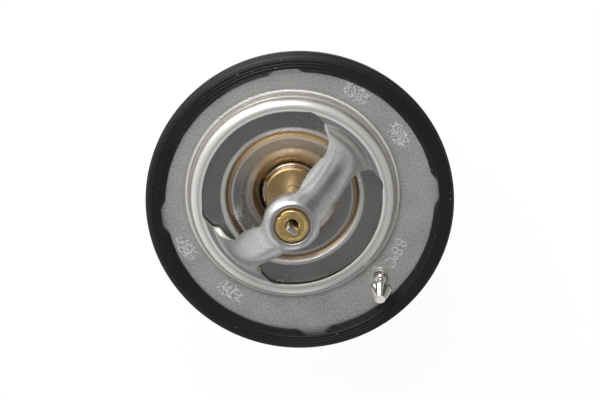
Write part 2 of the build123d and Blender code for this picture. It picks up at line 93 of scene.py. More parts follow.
@dataclass(frozen=True)
class Layout:
    """Places that several pieces share.

    Attributes:
        valve: centre of the valve axis in the flange plane.
        arm_angle: direction of the bridge arms, in degrees.
    """

    valve: Point = (2.38 * cos(radians(127.2)), 2.38 * sin(radians(127.2)))
    arm_angle: float = 44.3

    def deck(self, along: np.ndarray, across: np.ndarray, height: np.ndarray) -> np.ndarray:
        """Turns distances along and across the arms, and heights, into points of the object."""
        ux, uy = cos(radians(self.arm_angle)), sin(radians(self.arm_angle))
        x = self.valve[0] + along * ux - across * uy
        y = self.valve[1] + along * uy + across * ux
        return np.stack(np.broadcast_arrays(x, y, height), axis=-1)


LAYOUT = Layout()


# ---------------------------------------------------------------- numpy shape tools


def natural_spline(knots: np.ndarray, values: np.ndarray, at: np.ndarray) -> np.ndarray:
    """Evaluates a natural cubic spline.

    The second derivatives solve the usual tridiagonal system; between two knots the value is the
    cubic that has those second derivatives.

    Args:
        knots: rising parameter values.
        values: values at the knots.
        at: parameters to evaluate.

    Returns:
        Values at the parameters.
    """
    count = len(knots)
    step = np.diff(knots)
    system = np.eye(count)
    right = np.zeros(count)
    rows = np.arange(1, count - 1)
    system[rows, rows - 1] = step[:-1]
    system[rows, rows] = 2 * (step[:-1] + step[1:])
    system[rows, rows + 1] = step[1:]
    slope = np.diff(values) / step
    right[1:-1] = 6 * np.diff(slope)
    second = np.linalg.solve(system, right)
    k = np.clip(np.searchsorted(knots, at) - 1, 0, count - 2)
    a = (knots[k + 1] - at) / step[k]
    b = (at - knots[k]) / step[k]
    bend = ((a**3 - a) * second[k] + (b**3 - b) * second[k + 1]) * step[k] ** 2 / 6
    return a * values[k] + b * values[k + 1] + bend


def smooth_step(part: np.ndarray) -> np.ndarray:
    """Eases a share from 0 to 1 so that it starts and ends level: 3 p^2 - 2 p^3."""
    return part * part * (3 - 2 * part)


def round_points(
    radius: np.ndarray, height: np.ndarray, angle: np.ndarray, centre: Point = (0.0, 0.0)
) -> np.ndarray:
    """Points about an upright axis, each at centre + (r cos a, r sin a, z)."""
    x, y = centre[0] + radius * np.cos(angle), centre[1] + radius * np.sin(angle)
    return np.stack(np.broadcast_arrays(x, y, height), axis=-1)


def rounded_path(points: list[Point], radii: list[float], steps: int = 6) -> np.ndarray:
    """Rounds the inner corners of an open path with tangent arcs.

    Each arc starts and ends at radius times the tangent of half the turn from its corner.

    Args:
        points: corners of the path.
        radii: one radius for each inner corner; 0 keeps it sharp.
        steps: spans of each arc.

    Returns:
        Points of the path, one row each.
    """
    corners = np.array(points, float)
    pieces = [corners[:1]]
    for before, here, after, radius in zip(corners[:-2], corners[1:-1], corners[2:], radii):
        if radius <= 0:
            pieces.append(here[None])
            continue
        a = (before - here) / np.linalg.norm(before - here)
        b = (after - here) / np.linalg.norm(after - here)
        half = np.arccos(np.clip(a @ b, -1, 1)) / 2
        centre = here + (a + b) / np.linalg.norm(a + b) * radius / np.sin(half)
        start = here + a * radius / np.tan(half) - centre
        end = here + b * radius / np.tan(half) - centre
        turn = np.arctan2(start[0] * end[1] - start[1] * end[0], start @ end)
        angle = np.linspace(0, turn, steps + 1)[:, None]
        swing = np.array([-start[1], start[0]])
        pieces.append(centre + np.cos(angle) * start + np.sin(angle) * swing)
    pieces.append(corners[-1:])
    return np.vstack(pieces)


def grid_faces(rows: int, columns: int, wrap_rows: bool, wrap_columns: bool) -> np.ndarray:
    """Quads of a grid of vertices numbered row by row, joined round where it wraps."""
    i = np.arange(rows if wrap_rows else rows - 1)[:, None]
    j = np.arange(columns if wrap_columns else columns - 1)[None]
    a = i * columns + j
    b = i * columns + (j + 1) % columns
    c = (i + 1) % rows * columns + (j + 1) % columns
    d = (i + 1) % rows * columns + j
    return np.stack([a, b, c, d], axis=-1).reshape(-1, 4)


def turned_to(points: np.ndarray, faces: np.ndarray, outward: float) -> np.ndarray:
    """Orders each block of quads so that its faces look up and away from the valve axis.

    A quad's normal is the cross product of its diagonals; the block is reversed when the normals'
    sum with up plus the outward direction is negative.

    Args:
        points: points of the block.
        faces: quads of the block.
        outward: 1 for a face that looks away from the axis, -1 for one that looks towards it.

    Returns:
        The quads, reversed where needed.
    """
    a, b, c, d = (points[faces[:, k]] for k in range(4))
    normal = np.cross(c - a, d - b)
    middle = (a + b + c + d) / 4
    way = middle - np.array([*LAYOUT.valve, 0.0])
    way[:, 2] = 0
    way = outward * way / np.maximum(np.linalg.norm(way, axis=1)[:, None], 1e-6)
    way[:, 2] = 1.0
    return faces if np.sum(normal * way) > 0 else faces[:, ::-1]


def piece_from(
    name: str,
    points: np.ndarray,
    faces: np.ndarray,
    smooth_angle: float = 38.0,
    face_out: bool = True,
    slots: np.ndarray | None = None,
) -> bpy.types.Object:
    """Makes a mesh piece from points in millimetres.

    Args:
        name: name of the piece.
        points: one row for each vertex.
        faces: vertex numbers of each face.
        smooth_angle: edges sharper than this, in degrees, stay sharp.
        face_out: whether the faces' directions are worked out anew.
        slots: material slot of each face.

    Returns:
        The new object, at the origin.
    """
    mesh = bpy.data.meshes.new(name)
    mesh.from_pydata((points.reshape(-1, 3) * MM).tolist(), [], faces.tolist())
    if slots is not None:
        mesh.polygons.foreach_set("material_index", slots)
    mesh.update()
    piece = bpy.data.objects.new(name, mesh)
    bpy.context.scene.collection.objects.link(piece)
    weld_and_face_out(piece, face_out=face_out)
    mesh.shade_smooth()
    mesh.set_sharp_from_angle(angle=radians(smooth_angle))
    return piece


def weld_and_face_out(piece: bpy.types.Object, gap: float = 1e-6, face_out: bool = True) -> None:
    """Merges doubled vertices and, unless told not to, turns every face outwards."""
    import bmesh

    work = bmesh.new()
    work.from_mesh(piece.data)
    bmesh.ops.remove_doubles(work, verts=work.verts, dist=gap)
    bmesh.ops.dissolve_degenerate(work, edges=work.edges, dist=gap / 10)
    if face_out:
        bmesh.ops.recalc_face_normals(work, faces=work.faces)
    work.to_mesh(piece.data)
    work.free()
    piece.data.update()


def lathe(name: str, outline: np.ndarray, centre: Point, turns: int = 192) -> bpy.types.Object:
    """Turns a closed outline, in rows of radius and height, about an upright axis."""
    angle = np.linspace(0, 2 * pi, turns, endpoint=False)[None]
    points = round_points(outline[:, :1], outline[:, 1:], angle, centre)
    return piece_from(name, points, grid_faces(len(outline), turns, True, True))


def face_up(piece: bpy.types.Object) -> bpy.types.Object:
    """Turns an open piece over where most of its area looks down, and returns it."""
    if sum(face.normal.z * face.area for face in piece.data.polygons) < 0:
        piece.data.flip_normals()
    return piece


def add_modifier(piece: bpy.types.Object, kind: str, **values: object) -> bpy.types.Modifier:
    """Adds a modifier and sets its values."""
    modifier = piece.modifiers.new(kind.lower(), kind)
    for key, value in values.items():
        setattr(modifier, key, value)
    return modifier


# ---------------------------------------------------------------- shader groups


class Wires:
    """A node tree with short ways to add and join its nodes."""

    def __init__(self, tree: bpy.types.NodeTree) -> None:
        """Keeps the tree to build in."""
        self.tree = tree

    def add(self, kind: str, inputs: dict | None = None, **settings: object) -> bpy.types.Node:
        """Adds a node, sets its properties, then its inputs by value or by link.

        Args:
            kind: node type name.
            inputs: input name or number to a value or to a socket.
            settings: properties of the node.

        Returns:
            The new node.
        """
        node = self.tree.nodes.new(kind)
        for key, value in settings.items():
            setattr(node, key, value)
        for key, value in (inputs or {}).items():
            if isinstance(value, bpy.types.NodeSocket):
                self.tree.links.new(value, node.inputs[key])
            else:
                node.inputs[key].default_value = value
        return node

    def maths(self, operation: str, *values: object) -> bpy.types.NodeSocket:
        """One step of arithmetic on sockets or numbers."""
        return self.add("ShaderNodeMath", dict(enumerate(values)), operation=operation).outputs[0]

    def mix(self, share: object, first: object, second: object, **settings: object) -> bpy.types.NodeSocket:
        """Mixes two colours, each a socket or a plain colour."""
        colours = [
            value if isinstance(value, bpy.types.NodeSocket) else (*value, 1) for value in (first, second)
        ]
        inputs = {0: share, 6: colours[0], 7: colours[1]}
        return self.add("ShaderNodeMix", inputs, data_type="RGBA", **settings).outputs[2]

    def levels(
        self, value: object, stops: tuple[Point, ...], start: float = 0.0, reach: float = 1.0
    ) -> bpy.types.NodeSocket:
        """Maps a value through grey stops, whose places run from start over a given reach."""
        return self.ramp(value, [((place - start) / reach, (level,) * 3) for place, level in stops])

    def ramp(self, value: object, stops: list[tuple[float, Colour]]) -> bpy.types.NodeSocket:
        """Maps a value through colour stops."""
        node = self.add("ShaderNodeValToRGB", {0: value})
        band = node.color_ramp
        while len(band.elements) < len(stops):
            band.elements.new(0.5)
        for element, (place, colour) in zip(band.elements, stops):
            element.position = place
            element.color = (*colour, 1)
        return node.outputs["Color"]


def new_group(name: str, inputs: list[tuple[str, str, object]], outputs: list[tuple[str, str]]) -> tuple:
    """Starts a shader node group.

    Args:
        name: name of the group.
        inputs: name, socket type and default of each input.
        outputs: name and socket type of each output.

    Returns:
        The group's tree, its wires, its input node and its output node.
    """
    tree = bpy.data.node_groups.new(name, "ShaderNodeTree")
    for label, kind, default in inputs:
        socket = tree.interface.new_socket(label, in_out="INPUT", socket_type=kind)
        if default is not None:
            socket.default_value = default
    for label, kind in outputs:
        tree.interface.new_socket(label, in_out="OUTPUT", socket_type=kind)
    wires = Wires(tree)
    return tree, wires, wires.add("NodeGroupInput"), wires.add("NodeGroupOutput")


class Effects:
    """Shader groups that more than one finish uses, each built once."""

    def __init__(self) -> None:
        """Builds the groups."""
        self.mottle = self._mottle()
        self.rings = self._rings()
        self.dust = self._dust()
        self.radius = self._radius()

    @staticmethod
    def _radius() -> bpy.types.NodeTree:
        """Distance from the group's upright axis as a share of a given reach."""
        tree, w, given, out = new_group(
            "axis_distance",
            [("Vector", "NodeSocketVector", None), ("Reach", "NodeSocketFloat", 0.02)],
            [("Share", "NodeSocketFloat")],
        )
        flat = w.add("ShaderNodeVectorMath", {0: given.outputs[0], 1: (1, 1, 0)}, operation="MULTIPLY")
        far = w.add("ShaderNodeVectorMath", {0: flat.outputs[0]}, operation="LENGTH")
        share = w.maths("DIVIDE", far.outputs["Value"], given.outputs[1])
        w.tree.links.new(share, out.inputs[0])
        return tree

    @staticmethod
    def _mottle() -> bpy.types.NodeTree:
        """Fine grain with larger soft patches, as on tumbled or dull plated sheet."""
        tree, w, given, out = new_group(
            "sheet_mottle",
            [
                ("Vector", "NodeSocketVector", None),
                ("Grain Scale", "NodeSocketFloat", 2500.0),
                ("Patch Scale", "NodeSocketFloat", 180.0),
                ("Patch Share", "NodeSocketFloat", 0.35),
            ],
            [("Mask", "NodeSocketFloat"), ("Height", "NodeSocketFloat")],
        )
        grain, patch = (
            w.add(
                "ShaderNodeTexNoise",
                {"Vector": given.outputs[0], "Scale": given.outputs[scale], "Detail": detail}
            ).outputs["Fac"]
            for scale, detail in ((1, 3.0), (2, 4.0))
        )
        keep = w.maths("SUBTRACT", 1.0, given.outputs[3])
        mixed = w.maths("ADD", w.maths("MULTIPLY", grain, keep), w.maths("MULTIPLY", patch, given.outputs[3]))
        w.tree.links.new(mixed, out.inputs[0])
        w.tree.links.new(grain, out.inputs[1])
        return tree

    @staticmethod
    def _rings() -> bpy.types.NodeTree:
        """Fine concentric tool marks: noise along the distance from the group's upright axis."""
        tree, w, given, out = new_group(
            "turned_rings",
            [("Vector", "NodeSocketVector", None), ("Scale", "NodeSocketFloat", 6000.0)],
            [("Height", "NodeSocketFloat")],
        )
        parts = w.add("ShaderNodeSeparateXYZ", {0: given.outputs[0]})
        squares = [w.maths("POWER", parts.outputs[axis], 2.0) for axis in (0, 1)]
        across = w.maths("POWER", w.maths("ADD", *squares), 0.5)
        place = w.add("ShaderNodeCombineXYZ", {0: across, 1: parts.outputs[2]})
        noise = w.add(
            "ShaderNodeTexNoise", {"Vector": place.outputs[0], "Scale": given.outputs[1], "Detail": 2.0}
        )
        w.tree.links.new(noise.outputs["Fac"], out.inputs[0])
        return tree

    @staticmethod
    def _dust() -> bpy.types.NodeTree:
        """Sparse pale specks: the middles of a few cells of a Voronoi pattern."""
        tree, w, given, out = new_group(
            "dust_specks",
            [
                ("Vector", "NodeSocketVector", None),
                ("Scale", "NodeSocketFloat", 900.0),
                ("Amount", "NodeSocketFloat", 0.3),
            ],
            [("Mask", "NodeSocketFloat")],
        )
        cells = w.add("ShaderNodeTexVoronoi", {"Vector": given.outputs[0], "Scale": given.outputs[1]})
        near = w.add("ShaderNodeMapRange", {0: cells.outputs["Distance"], 1: 0.22, 2: 0.05})
        pick = w.add("ShaderNodeSeparateColor", {0: cells.outputs["Color"]})
        chosen = w.maths("LESS_THAN", pick.outputs[0], given.outputs[2])
        w.tree.links.new(w.maths("MULTIPLY", near.outputs[0], chosen), out.inputs[0])
        return tree


# ---------------------------------------------------------------- finishes

# Colour and metallic value of the painted highlight bands.
PAINTED_HIGHLIGHT_COLOUR = (0.9, 0.89, 0.87)
PAINTED_HIGHLIGHT_METALLIC = 0.25
# Range of the side factor over which the one-sided painted reflection fades in.
SIDE_REFLECTION_SPAN = (0.35, 0.93)
DUST_COLOUR = (0.22, 0.215, 0.2)


def started(name: str) -> tuple[bpy.types.Material, Wires, bpy.types.Node, bpy.types.NodeSocket]:
    """Starts a material: returns it with its wires, its shader and its object coordinates."""
    material = bpy.data.materials.new(name)
    material.use_nodes = True
    w = Wires(material.node_tree)
    return (
        material, w, material.node_tree.nodes["Principled BSDF"],
        w.add("ShaderNodeTexCoord").outputs["Object"],
    )


@dataclass(frozen=True)
class MetalFinish:
    """A metal with grain, patches and tool marks.

    Attributes:
        name: name of the material.
        dark: colour of the darker grains.
        light: colour of the lighter grains.
        roughness: lowest and highest roughness.
        grain: scale of the grain.
        patch: scale of the patches.
        share: how much of the colour change is patches.
        bump: height of the marks, in metres.
        lay: how the marks run.
        metallic: how metallic the surface is.
        reflection_shade_bands: radii from the valve axis, in millimetres, and how far the painted tint goes
            there: a painted brown reflection on the valve and the bridge, a painted shade on the flange.
        reflection_shade_tint: colour of those painted bands.
        painted_highlight: radii from the valve axis and how far a painted highlight, pale and less metallic,
            goes there.
        contrast: mask values where the colour is all dark and all light.
        glow: radii from the valve axis and how far a painted reflection of the brass guide goes there, on one
            side only.
        side_reflection_turn: direction of that side, in degrees.
        side_reflection_tint: colour of that painted reflection.
    """

    name: str
    dark: Colour
    light: Colour
    roughness: tuple[float, float] = (0.25, 0.4)
    grain: float = 2500.0
    patch: float = 180.0
    share: float = 0.35
    bump: float = 2e-6
    lay: Lay = Lay.ROLLED
    metallic: float = 1.0
    # Painted light about the valve axis: reflection and shade bands, their tint, highlight bands and a
    # one-sided painted reflection.
    reflection_shade_bands: tuple[Point, ...] = ()
    reflection_shade_tint: Colour = (0.42, 0.25, 0.10)
    painted_highlight: tuple[Point, ...] = ()
    contrast: Point = (0.36, 0.64)
    glow: tuple[Point, ...] = ()
    side_reflection_turn: float = 97.0
    side_reflection_tint: Colour = (0.62, 0.43, 0.22)

    def build(self, effects: Effects) -> bpy.types.Material:
        """Makes the node material from the shared shader groups."""
        material, w, shader, place = started(self.name)
        shader.inputs["Metallic"].default_value = self.metallic
        shift = (-LAYOUT.valve[0] * MM, -LAYOUT.valve[1] * MM, 0)
        centred = w.add("ShaderNodeMapping", {0: place, 1: shift}).outputs[0]
        values = {0: place, 1: self.grain, 2: self.patch, 3: self.share}
        mottle = w.add("ShaderNodeGroup", values, node_tree=effects.mottle)
        colour = w.ramp(mottle.outputs[0], [(self.contrast[0], self.dark), (self.contrast[1], self.light)])
        # Paint the reflection, shade and highlight bands about the valve axis into the colour.
        if self.reflection_shade_bands:
            colour = self.lay_painted_light(w, effects, shader, centred, colour)
        w.tree.links.new(colour, shader.inputs["Base Color"])
        inputs = {0: mottle.outputs[0], 1: 0.35, 2: 0.65, 3: self.roughness[1], 4: self.roughness[0]}
        w.tree.links.new(w.add("ShaderNodeMapRange", inputs).outputs[0], shader.inputs["Roughness"])
        height = mottle.outputs[1]
        if self.lay is Lay.TURNED:
            height = w.add("ShaderNodeGroup", {0: centred}, node_tree=effects.rings).outputs[0]
        bump = w.add("ShaderNodeBump", {"Height": height, "Distance": self.bump, "Strength": 1.0})
        w.tree.links.new(bump.outputs[0], shader.inputs["Normal"])
        return material

    def lay_painted_light(
        self,
        w: Wires,
        effects: Effects,
        shader: bpy.types.Node,
        centred: bpy.types.NodeSocket,
        colour: bpy.types.NodeSocket,
    ) -> bpy.types.NodeSocket:
        """Lays the painted reflection and shade bands, the one-sided painted reflection and the painted
        highlight bands over a colour.

        Args:
            w: the material's wires.
            effects: the shared shader groups.
            shader: the shader, whose metallic value falls under the painted highlight and under the last
                painted tint laid: the one-sided reflection where there is one, else the bands.
            centred: place measured from the valve axis.
            colour: colour without bands.

        Returns:
            The banded colour.
        """
        reach = self.reflection_shade_bands[-1][0]
        far = w.add("ShaderNodeGroup", {0: centred, 1: reach * MM}, node_tree=effects.radius).outputs[0]
        share = w.levels(far, self.reflection_shade_bands, reach=reach)
        colour = w.mix(share, colour, self.reflection_shade_tint)
        # One-sided painted reflection of the brass guide.
        if self.glow:
            turn = radians(self.side_reflection_turn)
            way = w.add("ShaderNodeVectorMath", {0: centred}, operation="NORMALIZE").outputs[0]
            inputs = {0: way, 1: (cos(turn), sin(turn), 0)}
            side = w.add("ShaderNodeVectorMath", inputs, operation="DOT_PRODUCT").outputs["Value"]
            near = w.add("ShaderNodeMapRange", {0: side, 1: SIDE_REFLECTION_SPAN[0], 2: SIDE_REFLECTION_SPAN[1]}).outputs[0]
            share = w.maths("MULTIPLY", near, w.levels(far, self.glow, reach=reach))
            colour = w.mix(share, colour, self.side_reflection_tint)
        # Painted highlight: paler colour and a lower metallic value.
        if self.painted_highlight:
            highlight_share = w.levels(far, self.painted_highlight, reach=reach)
            colour = w.mix(highlight_share, colour, PAINTED_HIGHLIGHT_COLOUR)
            dull = w.maths("MAXIMUM", highlight_share, share)
            metal = w.add("ShaderNodeMapRange", {0: dull, 3: self.metallic, 4: PAINTED_HIGHLIGHT_METALLIC})
            w.tree.links.new(metal.outputs[0], shader.inputs["Metallic"])
        return colour


@dataclass(frozen=True)
class RubberFinish:
    """Moulded rubber with a little bloom and a few dust specks.

    Attributes:
        name: name of the material.
        base: colour of the rubber.
        bloom: colour of its paler patches.
        dust: share of the cells that hold a speck.
        roughness: roughness of the rubber.
    """

    name: str
    base: Colour = (0.020, 0.020, 0.020)
    bloom: Colour = (0.030, 0.030, 0.029)
    dust: float = 0.05
    roughness: float = 0.5

    def build(self, effects: Effects) -> bpy.types.Material:
        """Makes the node material from the shared shader groups."""
        material, w, shader, place = started(self.name)
        shader.inputs["Roughness"].default_value = self.roughness
        shader.inputs["Specular IOR Level"].default_value = 0.3
        mottle = w.add("ShaderNodeGroup", {0: place, 1: 1800.0, 2: 120.0, 3: 0.5}, node_tree=effects.mottle)
        colour = w.ramp(mottle.outputs[0], [(0.35, self.base), (0.7, self.bloom)])
        dust = w.add("ShaderNodeGroup", {0: place, 1: 1100.0, 2: self.dust}, node_tree=effects.dust)
        w.tree.links.new(w.mix(dust.outputs[0], colour, DUST_COLOUR), shader.inputs["Base Color"])
        bump = w.add("ShaderNodeBump", {"Height": mottle.outputs[1], "Distance": 6e-6, "Strength": 1.0})
        w.tree.links.new(bump.outputs[0], shader.inputs["Normal"])
        return material


# painted light about the valve axis, each a radius and an amount: reflection and shade bands, highlight bands
# and a one-sided reflection
# Painted brown reflection of the brass on the valve's funnel and inner plate, and in its groove.
VALVE_REFLECTION_BANDS = (
    (0.0, 0.8), (5.5, 0.8), (6.6, 0.55), (7.4, 0.45), (8.6, 0.3), (9.6, 0.06), (11.7, 0.0), (11.95, 0.8),
    (12.75, 0.8), (13.05, 0.35), (13.4, 0.08), (18.5, 0.0),
)
# Painted highlight on the valve: a bright line at the groove's inner edge and a soft highlight on its outer
# slope.
VALVE_PAINTED_HIGHLIGHT = (
    (0.0, 0.0), (11.3, 0.0), (11.55, 0.45), (11.8, 0.4), (11.95, 0.0), (12.85, 0.0), (13.15, 0.6),
    (13.75, 0.65),
    (14.0, 0.0), (18.5, 0.0),
)
# One-sided painted reflection of the brass guide on the valve's funnel, inner plate and groove.
VALVE_SIDE_REFLECTION = (
    (0.0, 0.9), (8.8, 0.9), (9.8, 0.5), (11.3, 0.5), (11.7, 0.9), (13.0, 0.8), (13.4, 0.0), (18.5, 0.0)
)
# Painted brown reflection lines on the bridge's ring: at the port's edge and on the outer shoulder.
BRIDGE_REFLECTION_BANDS = (
    (0.0, 0.0), (17.5, 0.0), (17.68, 0.2), (17.92, 0.1), (18.1, 0.45), (18.3, 0.08), (19.3, 0.05),
    (19.55, 0.2),
    (19.8, 0.5), (20.05, 0.35), (21.5, 0.2),
)
# Painted highlight on the bridge's ring: pale along the port's edge, over the shoulder and in a thin line at
# the wall.
BRIDGE_PAINTED_HIGHLIGHT = (
    (0.0, 0.0), (17.3, 0.0), (17.42, 0.9), (17.85, 0.9), (18.05, 0.4), (18.3, 0.62), (18.8, 0.66),
    (19.15, 0.6),
    (19.3, 0.75), (19.45, 0.3), (19.6, 0.1), (19.85, 0.1), (19.95, 0.5), (20.1, 0.1), (21.5, 0.0),
)
# Painted shade band on the flange at the outer foot of its inner collar.
FLANGE_SHADE_BANDS = ((0.0, 0.0), (20.72, 0.0), (20.88, 0.6), (21.3, 0.5), (21.9, 0.0), (32.0, 0.0))
# Painted highlight along the top of the flange's inner collar.
FLANGE_PAINTED_HIGHLIGHT = ((0.0, 0.0), (20.15, 0.0), (20.28, 0.75), (20.68, 0.85), (20.84, 0.0), (32.0, 0.0))

FINISHES: dict[str, MetalFinish | RubberFinish] = {
    # Flange: painted highlight on its inner collar and a painted shade band beside it.
    "flange": MetalFinish(
        "flange_sheet", (0.54, 0.54, 0.53), (0.97, 0.97, 0.95), (0.40, 0.52), 2400, 150, 0.35, 5e-6,
        reflection_shade_bands=FLANGE_SHADE_BANDS, reflection_shade_tint=(0.26, 0.26, 0.25), painted_highlight=FLANGE_PAINTED_HIGHLIGHT
    ),
    # Bridge: painted brown reflection lines and painted highlights on its ring.
    "bridge": MetalFinish(
        "bridge_sheet", (0.54, 0.54, 0.53), (0.78, 0.78, 0.76), (0.27, 0.38), 2300, 130, 0.45, 2.6e-6,
        reflection_shade_bands=BRIDGE_REFLECTION_BANDS, reflection_shade_tint=(0.46, 0.36, 0.24), painted_highlight=BRIDGE_PAINTED_HIGHLIGHT
    ),
    "cut_edge": MetalFinish(
        "sheared_edge", (0.72, 0.71, 0.68), (0.90, 0.89, 0.86), (0.30, 0.42), 2600, 300, 0.4, 2e-6,
        metallic=0.5
    ),
    # Valve: painted brass reflection on the funnel and the groove, painted highlight lines, and a one-sided
    # painted reflection of the brass guide.
    "valve": MetalFinish(
        "valve_sheet", (0.37, 0.37, 0.368), (0.56, 0.56, 0.55), (0.20, 0.30), 2000, 130, 0.5, 8e-7,
        reflection_shade_bands=VALVE_REFLECTION_BANDS, reflection_shade_tint=(0.32, 0.20, 0.095), painted_highlight=VALVE_PAINTED_HIGHLIGHT, glow=VALVE_SIDE_REFLECTION
    ),
    "frame": MetalFinish(
        "frame_sheet", (0.50, 0.50, 0.49), (0.66, 0.66, 0.64), (0.24, 0.36), 1800, 110, 0.5, 2e-6
    ),
    "weld": MetalFinish(
        "weld_print", (0.30, 0.30, 0.29), (1.0, 1.0, 0.98), (0.30, 0.50), 4200, 1700, 0.5, 1.5e-5,
        metallic=0.4, contrast=(0.44, 0.58)
    ),
    "stamp": MetalFinish(
        "stamped_sign", (0.74, 0.74, 0.72), (0.90, 0.90, 0.88), (0.35, 0.5), 2500, 300, 0.5, 2e-6,
        metallic=0.35
    ),
    "brass_top": MetalFinish(
        "guide_brass", (0.84, 0.58, 0.28), (0.96, 0.70, 0.38), (0.24, 0.34), 1500, 300, 0.6, 8e-7, Lay.TURNED
    ),
    "bush": MetalFinish(
        "bush_brass", (0.60, 0.39, 0.14), (0.96, 0.70, 0.33), (0.32, 0.50), 1900, 600, 0.6, 1.4e-5
    ),
    "cup": MetalFinish(
        "cup_brass", (0.58, 0.38, 0.18), (0.70, 0.49, 0.24), (0.24, 0.36), 1600, 120, 0.6, 2e-6
    ),
    "wire": MetalFinish(
        "spring_wire", (0.44, 0.44, 0.43), (0.52, 0.52, 0.50), (0.22, 0.34), 2600, 300, 0.4, 2e-6
    ),
    "piston": MetalFinish(
        "ground_steel", (0.66, 0.66, 0.65), (0.84, 0.84, 0.82), (0.24, 0.36), 3000, 300, 0.3, 1e-6
    ),
    "pin": MetalFinish(
        "plated_pin", (0.62, 0.60, 0.56), (0.78, 0.76, 0.72), (0.07, 0.12), 1500, 200, 0.6, 3e-7
    ),
    "ring": MetalFinish(
        "ring_wire", (0.50, 0.46, 0.41), (0.66, 0.62, 0.56), (0.15, 0.25), 1500, 200, 0.6, 1e-6
    ),
    "rim_rubber": RubberFinish("rim_rubber", (0.008, 0.008, 0.008), (0.014, 0.014, 0.0135), 0.06, 0.42),
    "seal_rubber": RubberFinish("seal_rubber", (0.012, 0.012, 0.012), (0.018, 0.018, 0.018), 0.0),
}


# ---------------------------------------------------------------- the drawn bridge


